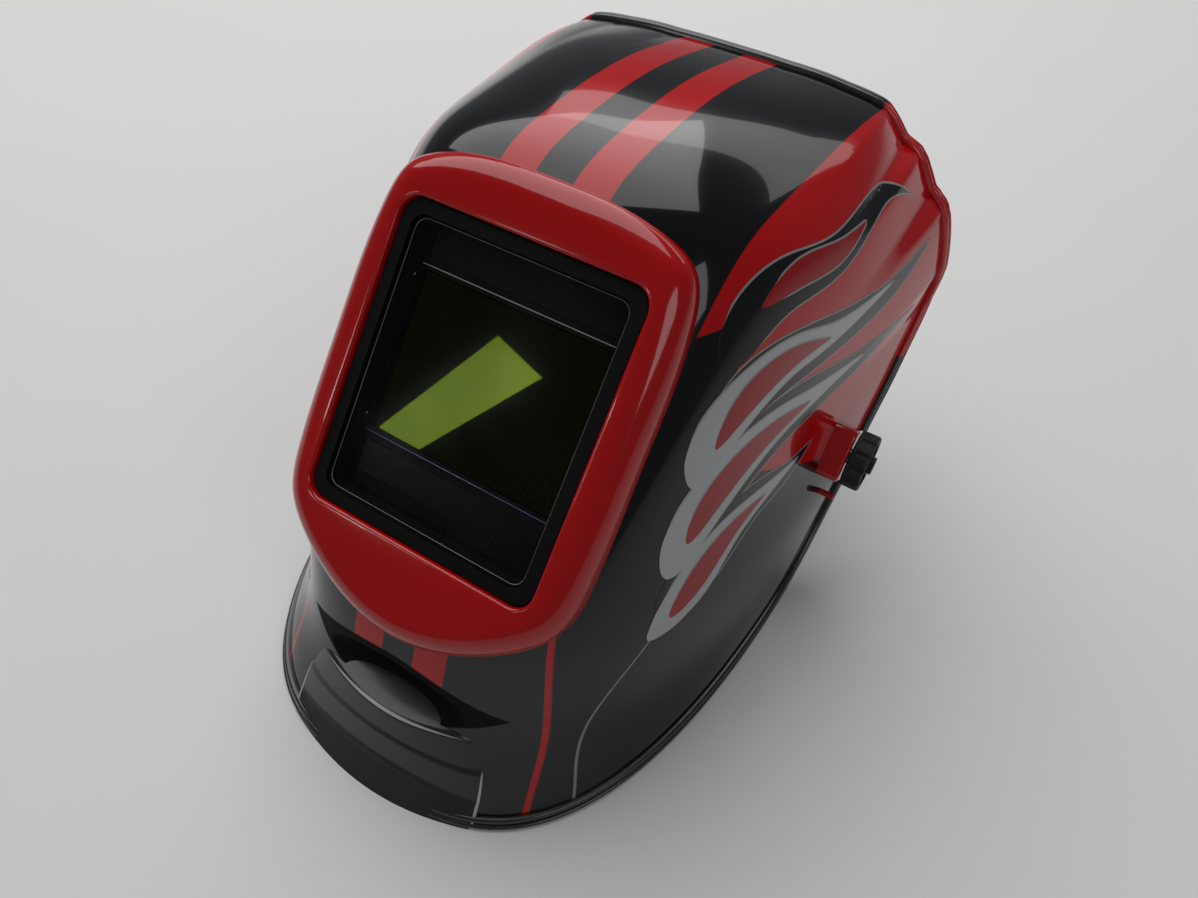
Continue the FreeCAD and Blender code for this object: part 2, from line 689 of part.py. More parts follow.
def rear_band():
    """Nape band whose tails lie outside the front band and run into the ratchet."""
    wall = ellipse_wall(BAND_T + 0.2, BAND_T - 0.4, RING_Z - 9, RING_Z + 9)
    band = wall.common(box(-120, 120, REAR_BAND_START, 140, -100, 100))
    slots = []
    for i in (-4, -3, -2, 2, 3, 4):
        slot = box(-3.5, 3.5, 0, 140, RING_Z - 2.5, RING_Z + 2.5)
        slots.append(slot.rotated(V(0, RING_Y, 0), V(0, 0, 1), 9 * i))
    return band.cut(slots + side_holes(RIVET_R + 0.1, ARM_RIVETS[1], RING_Z))


def pad_wall(z_half, y0, y1):
    """Plain soft pad along the inside of the ring."""
    wall = ellipse_wall(-PAD_T - 0.3, PAD_T, RING_Z - z_half, RING_Z + z_half)
    return wall.common(box(-120, 120, y0, y1, -100, 100))


def arm_foot(y, layers):
    """Inner corners of an arm's foot, a chord that just clears the bands it is riveted to."""
    reach = ARM_FOOT / 2
    return [V(ring_half_width(y + d, layers) + 0.6, y + d, 0) for d in (-reach, reach)]


def side_arm(side):
    """Bowed arm from the ring out to the pivot, flat where the stud passes."""
    outer = ARM_X
    front = arm_foot(ARM_RIVETS[0], BAND_T)
    rear = arm_foot(ARM_RIVETS[1], 2 * BAND_T - 0.2)
    path = front + [V(outer - ARM_T, -17, 0), V(outer - ARM_T, 17, 0)] + rear
    wire = Part.makePolygon(path)
    strip = wire.makeOffset2D(-ARM_T, 0, True, True)
    if strip.BoundBox.XMax < outer - 0.1:
        strip = wire.makeOffset2D(ARM_T, 0, True, True)
    arm = strip.extrude(V(0, 0, 2 * RING_Z + ARM_H))
    arm.translate(V(0, 0, -ARM_H / 2 - RING_Z * 0.5))
    low = RING_Z - 9
    high = RING_Z + 9
    outline = side_prism([(-60, low), (-60, high), (80, high), (80, low), (22, low), (12, -12), (-12, -12),
                          (-22, low)], 130)
    arm = arm.common(outline)
    holes = [x_cylinder(RIVET_R + 0.1, 0, 120, y, RING_Z) for y in ARM_RIVETS]
    holes.append(x_cylinder(STUD_R, 90, 120))
    arm = placed(arm.cut(holes), HEADGEAR)
    return arm if side > 0 else mirrored_x(arm)


def arm_rivets():
    """Rivets that join the side arms to the ring."""
    rivets = []
    for side in (1, -1):
        for y, layers in ((ARM_RIVETS[0], BAND_T), (ARM_RIVETS[1], 2 * BAND_T - 0.2)):
            inside = ring_half_width(y)
            foot = arm_foot(y, layers)
            outside = (foot[0].x + foot[1].x) / 2 + 1.06 * ARM_T + RIVET_SEAT
            shank = x_cylinder(RIVET_R, inside - 0.8, outside + 0.2, y, RING_Z)
            head = x_cylinder(RIVET_R + 1.6, outside + 0.15, outside + 1.3, y, RING_Z)
            rivet = shank.fuse(head)
            rivets.append(rivet if side > 0 else mirrored_x(rivet))
    return Part.makeCompound(rivets)


def strap_half(y):
    """Half span of a crown strap that clears the ring over its whole width."""
    return min(ring_half_width(y - STRAP_W / 2), ring_half_width(y + STRAP_W / 2)) - 0.3


def crown_strap(index):
    """Arched strap over the head, with a row of peg holes along its top."""
    y = STRAP_Y[index]
    half = strap_half(y)
    rise = STRAP_RISE + 3.0 * index
    faces = []
    for drop in (0, STRAP_T):
        top = V(0, y - STRAP_W / 2, RING_Z + rise - drop)
        side = V(half - drop, y - STRAP_W / 2, RING_Z)
        curve = Part.Ellipse(top, side, V(0, y - STRAP_W / 2, RING_Z))
        faces.append(Part.Face(Part.Wire(curve.toShape())))
    arch = faces[0].cut(faces[1]).extrude(V(0, STRAP_W, 0))
    arch = arch.common(box(-120, 120, -200, 200, RING_Z - 4, 300))
    holes = [z_cylinder(2.2, RING_Z + 40, 300, 12 * i, y) for i in range(-2, 3)]
    holes += side_holes(STRAP_RIVET_R + 0.1, y, RING_Z + 2)
    return arch.cut(holes)


def strap_link():
    """Short fore-and-aft strap that ties the two arches together."""
    y0 = STRAP_Y[0] - 7
    y1 = STRAP_Y[1] + 7
    top = RING_Z + STRAP_RISE + 3.2
    strap = box(-8, 8, y0, y1, top, top + 1.8)
    ends = [edge for edge in strap.Edges if abs(edge.tangentAt(edge.FirstParameter).z) > 0.9]
    return strap.makeFillet(6.0, ends)


def strap_pegs():
    """Pegs that lock the link to the arches, and rivets at the feet of the arches."""
    top = RING_Z + STRAP_RISE + 5.0
    pegs = []
    for y in STRAP_Y:
        pegs.append(z_cylinder(4.2, top, top + 1.6, 0, y))
        for side in (1, -1):
            inside = strap_half(y) - STRAP_T
            shank = x_cylinder(STRAP_RIVET_R, inside - 0.6, ring_half_width(y) + 1.2, y, RING_Z + 2)
            head = x_cylinder(STRAP_RIVET_R + 1.5, inside - 1.6, inside - 0.3, y, RING_Z + 2)
            rivet = shank.fuse(head)
            pegs.append(rivet if side > 0 else mirrored_x(rivet))
    return Part.makeCompound(pegs)


def ratchet_y():
    return RING_Y + RING_RY + 2 * BAND_T + 0.4


def ratchet_back():
    """Furthest point back of the whole helmet: the rear face of the ratchet knob, high or low on its rim."""
    lean = math.radians(HEADGEAR_LEAN)
    face = ratchet_y() + RATCHET_T + 0.4 + RATCHET_KNOB_T
    rise = RING_Z + RATCHET_KNOB_R - KNOB_CHAMFER
    return PIVOT_Y + face * math.cos(lean) - rise * math.sin(lean)


def ratchet_housing():
    """Curved case at the nape that holds the band's two toothed tails and the pinion."""
    y0 = ratchet_y()
    case = box(-RATCHET_W / 2, RATCHET_W / 2, y0 - 9, y0 + RATCHET_T, -RATCHET_H / 2, RATCHET_H / 2)
    case.translate(V(0, 0, RING_Z))
    along = [edge for edge in case.Edges if abs(edge.tangentAt(edge.FirstParameter).y) > 0.9]
    case = case.makeFillet(9.0, along)
    back = [edge for edge in case.Edges if edge.BoundBox.YMin > y0 + RATCHET_T - 0.01]
    case = case.makeFillet(3.0, back)
    oval = Part.Ellipse(V(0, 0, 0), RING_RY + 2 * BAND_T, RING_RX + 2 * BAND_T)
    disc = Part.Face(Part.Wire(oval.toShape())).extrude(V(0, 0, 120))
    disc.Placement = FreeCAD.Placement(V(0, RING_Y, -20), FreeCAD.Rotation(V(0, 0, 1), 90))
    bore = Part.makeCylinder(4 + RUNNING_GAP, 20, V(0, y0 + 2, RING_Z), V(0, 1, 0))
    return case.cut([disc, bore])


def ratchet_knob():
    """Large soft-edged knob that winds the nape band."""
    y0 = ratchet_y() + RATCHET_T + 0.4
    body = Part.makeCylinder(RATCHET_KNOB_R, RATCHET_KNOB_T, V(0, y0, RING_Z), V(0, 1, 0))
    rims = [edge for edge in body.Edges if edge.BoundBox.YMax - edge.BoundBox.YMin < 0.01]
    body = body.makeChamfer(KNOB_CHAMFER, rims)
    cuts = []
    for i in range(KNOB_LOBES):
        angle = 2 * math.pi * i / KNOB_LOBES
        reach = RATCHET_KNOB_R + 2.2
        centre = V(reach * math.cos(angle), y0, RING_Z + reach * math.sin(angle))
        cuts.append(Part.makeCylinder(4, RATCHET_KNOB_T, centre, V(0, 1, 0)))
    cuts.append(Part.makeCone(9, 11, 2.5, V(0, y0 + RATCHET_KNOB_T - 2.4, RING_Z), V(0, 1, 0)))
    shaft = Part.makeCylinder(4, RATCHET_T - 2.5, V(0, y0 - RATCHET_T + 2.6, RING_Z), V(0, 1, 0))
    return body.cut(cuts).fuse(shaft)


# ---------------------------------------------------------------- the whole helmet


def write_window():
    parts = {
        "window_gasket": window_gasket(),
        "cover_lens": cover_lens(),
        "filter_carrier": filter_carrier(),
        "carrier_screws": carrier_screws(),
        "filter_housing": filter_housing(),
        "lcd_glass": lcd_glass(),
        "solar_strips": solar_strips(),
        "arc_sensors": arc_sensors(),
        "inner_cover_lens": inner_cover_lens(),
        "retainer_frame": retainer_frame(),
        "latch_left": latch(LATCH_X),
        "latch_right": latch(-LATCH_X),
        "shade_dial": control_dial(DIAL_X[0], DIAL_R[0]),
        "sensitivity_dial": control_dial(DIAL_X[1], DIAL_R[1]),
        "delay_dial": control_dial(DIAL_X[2], DIAL_R[2]),
        "test_button": test_button(),
        "battery_drawer": battery_drawer(),
        "coin_cell": coin_cell(),
    }
    for name, shape in parts.items():
        save(name, placed(shape, WINDOW))


def write_pivots():
    for name, side in (("left", 1), ("right", -1)):
        save("tilt_stop_" + name, tilt_stop(side))
        save("tension_knob_" + name, tension_knob(side))
        save("pivot_stud_" + name, pivot_stud(side))
        save("friction_washer_" + name, friction_washer(side))
        save("side_arm_" + name, side_arm(side))


def write_headgear():
    parts = {
        "front_band": front_band(),
        "rear_band": rear_band(),
        "sweatband": pad_wall(BAND_H / 2 - 1, -100, ARM_RIVETS[0] - 6),
        "nape_pad": pad_wall(8, 78, 140),
        "arm_rivets": arm_rivets(),
        "crown_strap_front": crown_strap(0),
        "crown_strap_rear": crown_strap(1),
        "strap_link": strap_link(),
        "strap_pegs": strap_pegs(),
        "ratchet_housing": ratchet_housing(),
        "ratchet_knob": ratchet_knob(),
    }
    for name, shape in parts.items():
        save(name, placed(shape, HEADGEAR))


save("shell", helmet_shell())
write_window()
write_pivots()
write_headgear()
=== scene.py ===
import json
import math

import bmesh
import bpy
import numpy as np
from mathutils import Matrix, Vector


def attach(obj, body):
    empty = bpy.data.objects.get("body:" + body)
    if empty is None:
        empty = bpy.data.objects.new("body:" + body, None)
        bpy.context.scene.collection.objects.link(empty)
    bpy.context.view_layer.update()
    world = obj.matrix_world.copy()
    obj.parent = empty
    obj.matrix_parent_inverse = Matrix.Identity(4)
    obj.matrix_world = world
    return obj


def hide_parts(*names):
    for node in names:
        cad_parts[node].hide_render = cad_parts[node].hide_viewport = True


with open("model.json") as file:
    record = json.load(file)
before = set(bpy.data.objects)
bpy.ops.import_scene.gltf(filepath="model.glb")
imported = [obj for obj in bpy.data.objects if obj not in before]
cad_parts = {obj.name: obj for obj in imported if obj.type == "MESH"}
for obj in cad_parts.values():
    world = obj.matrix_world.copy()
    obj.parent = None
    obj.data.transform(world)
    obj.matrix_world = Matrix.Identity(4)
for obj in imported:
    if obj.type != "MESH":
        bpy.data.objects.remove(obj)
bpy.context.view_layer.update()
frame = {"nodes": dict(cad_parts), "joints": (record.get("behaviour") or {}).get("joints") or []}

# ---------------------------------------------------------------------------
# Shell. One moulding of nylon 2.8 mm thick. It springs from the jaw, stands close round the face
# and ends in an upright edge behind the crown. It is gloss outside and matt black inside.

# The shell is laid out in millimetres from the middle of its jaw; ORIGIN is that point in metres.
PIVOT = [joint for joint in frame["joints"] if joint["name"] == "headgear_tilt"][0]["pos_m"]
PIVOT_Y, PIVOT_Z = 66.0, 79.0
ORIGIN = np.array([0.0, PIVOT[1] - PIVOT_Y / 1000, PIVOT[2] - PIVOT_Z / 1000])
WALL = 2.8
WINDOW_CENTRE = np.array([0, -66.0, 172.0])
LEAN = math.radians(45.8)
UP_WINDOW = np.array([0, math.cos(LEAN), math.sin(LEAN)])
OUT_OF_WINDOW = np.array([0, -math.sin(LEAN), math.cos(LEAN)])
HEAD = (0, 20, 90)


def window_point(u, n):
    """(y, z) of a point u up the window's face and n out of it."""
    p = WINDOW_CENTRE + u * UP_WINDOW + n * OUT_OF_WINDOW
    return p[1], p[2]


# Arches of the skin from the chin to the rear: (y, z) of the springing line and of the crest, direction
# in degrees in which the crest faces, half width, narrowing at the crest, superellipse power.
ARCHES = (
    ((60, -20), (-187, -20), 151, 125, 0, 3.0),
    ((76, 2), (-168, 14), 151, 127, 3, 2.9),
    ((94, 24), (-150, 46), 150, 128.5, 9, 2.75),
    ((110, 42), window_point(-98, -12), 143, 130.5, 20, 3.5),
    ((124, 58), window_point(-55, -4.5), 138, 132, 36, 5.0),
    ((138, 72), window_point(0, -3), 136, 133.5, 42, 6),
    ((151, 84), window_point(50, -3), 134, 134, 42, 5.6),
    ((162, 94), window_point(88, -2.5), 115, 134, 38, 4.1),
    ((171, 102), (30, 240), 94, 133.5, 31, 3.4),
    ((178, 109), (84, 235.5), 82, 133, 23, 3.1),
    ((184, 115), (134, 223.5), 75, 132, 16, 3.1),
    ((190, 120), (184, 208), 73, 131, 12, 3.1),
)


def spline_weights(t, count):
    """Weights of a cubic spline with free ends through values at 0, 1, 2 and so on, read at t."""
    bend = np.eye(count)
    load = np.zeros((count, count))
    for i in range(1, count - 1):
        bend[i, i - 1:i + 2] = (1, 4, 1)
        load[i, i - 1:i + 2] = (6, -12, 6)
    curvature = np.linalg.solve(bend, load)
    k = np.clip(np.floor(t).astype(int), 0, count - 2)
    s = (t - k)[..., None]
    hold = np.eye(count)
    before = (1 - s) * hold[k] + ((1 - s) ** 3 - (1 - s)) * curvature[k] / 6
    after = s * hold[k + 1] + (s ** 3 - s) * curvature[k + 1] / 6
    return before + after


def skin(v, theta, lift=0.0):
    """Superellipse arches, theta from one springing to the other, joined along v by a cubic spline."""
    c, s = np.cos(theta), np.sin(theta)
    rows = []
    for back, front, facing, width, taper, power in ARCHES:
        crest_y = front[0] + lift * math.cos(math.radians(facing))
        crest_z = front[1] + lift * math.sin(math.radians(facing))
        reach = (np.abs(c) ** power + s ** power) ** (-1 / power)
        r = reach * s
        x = (width + lift - taper * r) * reach * c
        rows.append(np.stack([x, back[0] + (crest_y - back[0]) * r, back[1] + (crest_z - back[1]) * r], -1))
    weights = spline_weights(v, len(ARCHES))
    return np.einsum("...k,...kc->...c", weights, np.stack(rows, -2))


def soft_min(a, b, radius):
    """The smaller of a and b, rounded by a parabola where they are within the radius of each other."""
    h = np.clip(0.5 + 0.5 * (b - a) / radius, 0, 1)
    return b + (a - b) * h - radius * h * (1 - h)


def smooth(t):
    """Rises from 0 to 1 as 3 t^2 - 2 t^3."""
    t = np.clip(t, 0, 1)
    return t * t * (3 - 2 * t)


REAR_RIM_Y = 162.0
SLOPE_FOOT, SLOPE_HEAD = (57.0, 17.0), (150.0, 112.0)
JAW_BEND, REAR_BEND = 26.0, 12.0


def inside_rim(p):
    """Distance inside the rim in side view: above the jaw line, behind the slope, before the rear edge."""
    run, rise = SLOPE_HEAD[0] - SLOPE_FOOT[0], SLOPE_HEAD[1] - SLOPE_FOOT[1]
    up, back = p[..., 2] - SLOPE_FOOT[1], p[..., 1] - SLOPE_FOOT[0]
    slope = (up * run - back * rise) / math.hypot(run, rise)
    return soft_min(soft_min(p[..., 2], slope, JAW_BEND), REAR_RIM_Y - p[..., 1], REAR_BEND)


HOLE_HALF_WIDTH, HOLE_HALF_HEIGHT = 66, 80


def outside_window(p):
    """Positive outside (x/a)^4 + (u/b)^4 = 1, the edge of the skin hidden under the window's frame."""
    d = p - WINDOW_CENTRE
    return (np.abs(d[..., 0]) / HOLE_HALF_WIDTH) ** 4 + (np.abs(d @ UP_WINDOW) / HOLE_HALF_HEIGHT) ** 4 - 1


WINDOW_ARCH, ARCHES_EACH_WAY, POLE = 5.0, 5.95, 0.0005


def along_ray(angle, reach):
    """(v, theta) at a reach along a ray that leaves the middle of the window at an angle."""
    v = WINDOW_ARCH + ARCHES_EACH_WAY * reach * np.cos(angle)
    theta = math.pi / 2 * (1 + reach * np.sin(angle))
    return np.clip(v, 0, len(ARCHES) - 1), np.clip(theta, POLE, math.pi - POLE)


def crossing(angle, inside, near, far, lift=0.0):
    """Reach of each ray where the test turns negative, by halving the interval 40 times."""
    low, high = np.full_like(angle, near), np.full_like(angle, far)
    for _ in range(40):
        middle = (low + high) / 2
        kept = inside(skin(*along_ray(angle, middle), lift)) > 0
        low, high = np.where(kept, middle, low), np.where(kept, high, middle)
    return low


RECESS_HALF, RECESS_R, RECESS_Y, RECESS_Z = 56.0, 12.0, -148.0, 55.0


def with_recess(p, wall):
    """Skin pushed in to y = max(skin, hollow) by an almond: an arc of half its height turned about X."""
    half, depth = RECESS_HALF + wall, RECESS_R + wall
    ball = (half ** 2 + depth ** 2) / (2 * depth)
    radius = np.sqrt(np.maximum(ball ** 2 - p[..., 0] ** 2, 0)) - (ball - depth)
    span = np.maximum(radius, 0) ** 2 - (p[..., 2] - RECESS_Z) ** 2
    floor = np.where(span > 0, RECESS_Y + np.sqrt(np.maximum(span, 0)), -1000.0)
    front = (p[..., 1] < -120) & (p[..., 2] < 90)
    q = p.copy()
    q[..., 1] = np.where(front, np.maximum(p[..., 1], floor), p[..., 1])
    return q


STEP_TURN = (4, 11, 26.4, 30.5, 34.4, 39.7, 43.0, 47.2, 51.3, 60, 74)
STEP_DEPTH = (0, -2.4, -2.0, 2.6, 1.9, -0.4, 2.6, -0.9, -4.4, -1.6, 0)
STEP_START, STEP_RUN, STEP_AXIS_Z = 60.0, 96.0, 110.0


def stepped(p):
    """Ledges along each shoulder deepen to the rear rim: r - depth(turn) smooth(y) about a line along Y."""
    x, z = np.abs(p[..., 0]), p[..., 2] - STEP_AXIS_Z
    depth = np.interp(np.degrees(np.arctan2(z, x)), STEP_TURN, STEP_DEPTH)
    keep = 1 - depth * smooth((p[..., 1] - STEP_START) / STEP_RUN) / np.hypot(x, z)
    return np.stack([p[..., 0] * keep, p[..., 1], STEP_AXIS_Z + z * keep], -1)


def skin_sheet(rays, rings, lift):
    """Skin as rays by rings, from the hidden edge round the window out to the rim."""
    angle = np.linspace(0, 2 * math.pi, rays, endpoint=False)
    near = crossing(angle, lambda p: -outside_window(p), 0.05, 0.9)
    far = crossing(angle, inside_rim, 0.4, 1.6, lift)
    share = np.linspace(0, 1, rings)
    reach = near[:, None] + (far - near)[:, None] * share
    return stepped(with_recess(skin(*along_ray(angle[:, None], reach), lift), -lift))


def quads(rows, columns, wrap_rows, wrap_columns):
    """Corner numbers of the faces of a grid, closed round where it wraps."""
    index = np.arange(rows * columns).reshape(rows, columns)
    if wrap_rows:
        index = np.vstack([index, index[:1]])
    if wrap_columns:
        index = np.hstack([index, index[:, :1]])
    faces = np.stack([index[:-1, :-1], index[:-1, 1:], index[1:, 1:], index[1:, :-1]], -1)
    return faces.reshape(-1, 4)


def piece(name, sheets, materials):
    """One object from sheets of (grid in millimetres, wraps, material number, point that it faces from)."""
    points, faces, slots, count = [], [], [], 0
    for grid, wraps, slot, centre in sheets:
        corners = quads(grid.shape[0], grid.shape[1], *wraps)
        flat = grid.reshape(-1, 3)
        a, b, c, d = (flat[corners[:, i]] for i in range(4))
        normal = np.cross(c - a, d - b)
        away = (a + c) / 2 - np.array(centre if centre is not None else flat.mean(0))
        if (normal * away).sum() < 0:
            corners = corners[:, ::-1]
        points.append(flat)
        faces.append(corners + count)
        slots.append(np.full(len(corners), slot))
        count += len(flat)
    points, faces, slots = np.concatenate(points), np.concatenate(faces), np.concatenate(slots)
    mesh = bpy.data.meshes.new(name)
    mesh.from_pydata((points / 1000 + ORIGIN).tolist(), [], faces.tolist())
    mesh.polygons.foreach_set("material_index", slots.astype(np.int32))
    mesh.polygons.foreach_set("use_smooth", np.ones(len(faces), bool))
    for made in materials:
        mesh.materials.append(made)
    mesh.validate()
    thing = bpy.data.objects.new(name, mesh)
    bpy.context.scene.collection.objects.link(thing)
    return thing


class Value:
    """A socket of a material that takes part in sums, so that 1 - mask and a * b add Math nodes."""

    def __init__(self, tree, socket):
        self.tree = tree
        self.socket = socket

    def node(self, kind, settings, inputs, output=0):
        """Any other node: its settings first, then the values or links of its sockets."""
        made = self.tree.nodes.new(kind)
        for key, value in settings.items():
            setattr(made, key, value)
        for key, value in inputs.items():
            if isinstance(value, Value):
                self.tree.links.new(value.socket, made.inputs[key])
            else:
                made.inputs[key].default_value = value
        return Value(self.tree, made.outputs[output])

    def sum(self, operation, a, b=0.0):
        return self.node("ShaderNodeMath", {"operation": operation}, {0: a, 1: b})

    def __add__(self, other):
        return self.sum("ADD", self, other)

    __radd__ = __add__

    def __sub__(self, other):
        return self.sum("SUBTRACT", self, other)

    def __rsub__(self, other):
        return self.sum("SUBTRACT", other, self)

    def __mul__(self, other):
        return self.sum("MULTIPLY", self, other)

    __rmul__ = __mul__

    def size(self):
        return self.sum("ABSOLUTE", self)

    def over(self, edge, blur):
        """0 below the edge, 1 above it, with a straight rise of width blur between."""
        return self.node("ShaderNodeMath", {"operation": "MULTIPLY_ADD", "use_clamp": True},
                         {0: self - edge, 1: 1 / blur, 2: 0.5})

    def dot(self, direction):
        return self.node("ShaderNodeVectorMath", {"operation": "DOT_PRODUCT"}, {0: self, 1: direction}, 1)

    def mix(self, a, b):
        """Colour a where this mask is 0 and b where it is 1."""
        return self.node("ShaderNodeMix", {"data_type": "RGBA"}, {0: self, 6: a, 7: b}, 2)

    def noise(self, scale, detail=2.0, roughness=0.5):
        return self.node("ShaderNodeTexNoise", {},
                         {"Vector": self, "Scale": scale, "Detail": detail, "Roughness": roughness})

    def bump(self, height, strength, distance):
        return self.node("ShaderNodeBump", {},
                         {"Height": height, "Strength": strength, "Distance": distance})


def finish(name, **constants):
    """A new material: its shader with these constants on its own sockets, and its object coordinates."""
    made = bpy.data.materials.new(name)
    made.use_nodes = True
    tree = made.node_tree
    shader = tree.nodes["Principled BSDF"]
    for key, value in constants.items():
        shader.inputs[key.replace("_", " ")].default_value = value
    place = Value(tree, tree.nodes.new("ShaderNodeTexCoord").outputs["Object"])
    return made, shader, place


def feed(shader, **links):
    """Links what changes over the surface into the shader."""
    for key, value in links.items():
        shader.id_data.links.new(value.socket, shader.inputs[key.replace("_", " ")])


ACROSS, BACK, UP = (1000, 0, 0), (0, 1000, 0), (0, 0, 1000)


def layout(place):
    """Place from the shell's ORIGIN, to be measured along an axis in millimetres."""
    return place.node("ShaderNodeVectorMath", {"operation": "SUBTRACT"}, {0: place, 1: tuple(ORIGIN)})


RED = (0.44, 0.001, 0.003, 1)
BLACK = (0.0025, 0.0025, 0.003, 1)
CHIN_GREY = (0.010, 0.010, 0.011, 1)
PINSTRIPE_TONE = (0.20, 0.20, 0.19, 1)
STRIPE_FROM, STRIPE_TO, CROWN_HALF, CROWN_SPLAY = 8.6, 25.3, 74.5, 0.0406
LINE_FROM, LINE_TO, CHIN_HALF = 74.0, 76.6, 77.0


def shell_paint():
    """Gloss paint: twin stripes over a black crown and down the chin, red sides that turn black forwards; the
    almond hollow under the chin is painted black as painted shade.
    """
    made, shader, place = finish("shell_paint", Coat_Roughness=0.03, Specular_IOR_Level=0.1)
    local = layout(place)
    across, back, height = local.dot(ACROSS).size(), local.dot(BACK), local.dot(UP)
    up = local.dot(tuple(UP_WINDOW * 1000)) - float(WINDOW_CENTRE @ UP_WINDOW)
    stripes = across.over(STRIPE_FROM, 0.3) * (1 - across.over(STRIPE_TO, 0.3))
    crown = 1 - (across - CROWN_SPLAY * back).over(CROWN_HALF, 0.4)
    chin = 1 - up.over(-60, 2)
    fade = (0.80 * height + 0.60 * back).over(99.0, 0.5)
    ripple = place.noise(9.0, 3.0)
    red = ripple.mix((0.38, 0.001, 0.002, 1), (0.46, 0.002, 0.004, 1))
    behind_frame = back - 0.815 * height
    band = (1 - behind_frame.over(-158.0, 0.4)) * (1 - height.over(203.0, 0.4))
    side = (fade * (1 - band)).mix(BLACK, red)
    bend = back - 0.47 * height - 0.0028 * (height * height)
    pinstripe = bend.over(-138.0, 0.3) * (1 - bend.over(-136.7, 0.3)) * (1 - height.over(118.0, 1.0))
    side = (pinstripe * across.over(66.0, 1.0)).mix(side, PINSTRIPE_TONE)
    colour = crown.mix(side, stripes.mix(BLACK, RED))
    splay = across + 0.09 * height
    side_line = splay.over(LINE_FROM, 0.3) * (1 - splay.over(LINE_TO, 0.3))
    hollow = 1 - (1 / RECESS_HALF ** 2) * (across * across) - (1 / RECESS_R) * (height - RECESS_Z).size()
    # Painted shade: the almond hollow is coloured black, and it is made rough with no coat.
    hollow_painted_shade = hollow.over(-0.06, 0.06) * (1 - back.over(-120, 1))
    low = hollow_painted_shade.mix((stripes * height.over(RECESS_Z, 0.5) + side_line).mix(CHIN_GREY, RED), BLACK)
    front = chin * (1 - back.over(-60, 1))
    colour = (front * (1 - splay.over(CHIN_HALF, 3.0))).mix(colour, low)
    grain = place.noise(900.0, 2.0)
    dust = place.noise(60.0, 5.0, 0.7)
    feed(shader, Base_Color=colour, Roughness=0.10 + 0.10 * dust + 0.5 * hollow_painted_shade,
         Coat_Weight=0.55 * (1 - hollow_painted_shade), Normal=place.bump(grain, 0.05, 0.0001))
    return made


def lip_finish():
    """Gloss black of the rolled edge, a little scuffed, with red on the sides above the knobs."""
    made, shader, place = finish("lip_paint", Coat_Weight=0.4, Coat_Roughness=0.08)
    local = layout(place)
    side = local.dot(ACROSS).size().over(80.5, 0.5) * local.dot(UP).over(98.0, 1.0)
    scuff = place.noise(70.0, 6.0, 0.7)
    feed(shader, Base_Color=side.mix(scuff.mix((0.006, 0.006, 0.006, 1), (0.014, 0.014, 0.014, 1)), RED),
         Roughness=0.18 + 0.22 * scuff, Normal=place.bump(place.noise(1500.0), 0.05, 0.0001))
    return made


def inside_finish():
    """Matt black inside, with the fine spark texture of the mould."""
    made, shader, place = finish("black_plastic")
    grain = place.noise(1400.0, 3.0)
    cloud = place.noise(25.0, 4.0)
    feed(shader, Base_Color=cloud.mix((0.012, 0.012, 0.012, 1), (0.022, 0.022, 0.022, 1)),
         Roughness=0.55 + 0.2 * grain, Normal=place.bump(grain, 0.3, 0.0002))
    return made


LIP_PROUD, GROOVE_PROUD = 2.4, 0.9
UNDER_LIP = ((6.8, -2.6), (5.0, -4.0), (2.0, -4.0), (0.0, -2.6))


def rolled_lip(rays):
    """Profile carried along the rim: two half-round ridges with a groove between, then round under the edge."""
    angle = np.linspace(0, 2 * math.pi, rays, endpoint=False)
    edge_reach = crossing(angle, inside_rim, 0.4, 1.6)
    edge = stepped(skin(*along_ray(angle, edge_reach)))
    inner = stepped(skin(*along_ray(angle, edge_reach * 0.97)))
    tangent = np.roll(edge, -1, 0) - np.roll(edge, 1, 0)
    tangent /= np.linalg.norm(tangent, axis=1, keepdims=True)
    inwards = inner - edge
    inwards -= (inwards * tangent).sum(1, keepdims=True) * tangent
    inwards /= np.linalg.norm(inwards, axis=1, keepdims=True)
    out = np.cross(tangent, inwards)
    out *= np.sign((out * (edge - np.array(HEAD))).sum(1, keepdims=True))
    ridge = np.linspace(0, math.pi, 9)
    rise = LIP_PROUD * np.sin(ridge) ** 0.6
    first = np.stack([1.5 - 1.5 * np.cos(ridge), rise], -1)
    second = np.stack([5.3 - 1.7 * np.cos(ridge), rise], -1)
    first[-1, 1] = second[0, 1] = GROOVE_PROUD
    profile = np.concatenate([first, second, np.array(UNDER_LIP)])
    grid = edge[:, None] + profile[:, :1] * inwards[:, None] + profile[:, 1:] * out[:, None]
    grid[..., 2] = np.maximum(grid[..., 2], 0)
    return grid


# Frame's outline on one side as (x, u) across and up the window's face, from the top to the bottom.
OUTLINE_RIGHT = ((0, 93), (46, 89), (65, 80), (72, 60), (74.5, 5), (74, -50), (69.5, -73), (54, -90), (0, -110))
OPENING_W, OPENING_H, OPENING_R = 116.0, 135.0, 9.0
OPENING_ROUND, OPENING_DEPTH = 1.5, 6.0
FRAME_FRONT, FRAME_ROUND = 3.0, 12.0


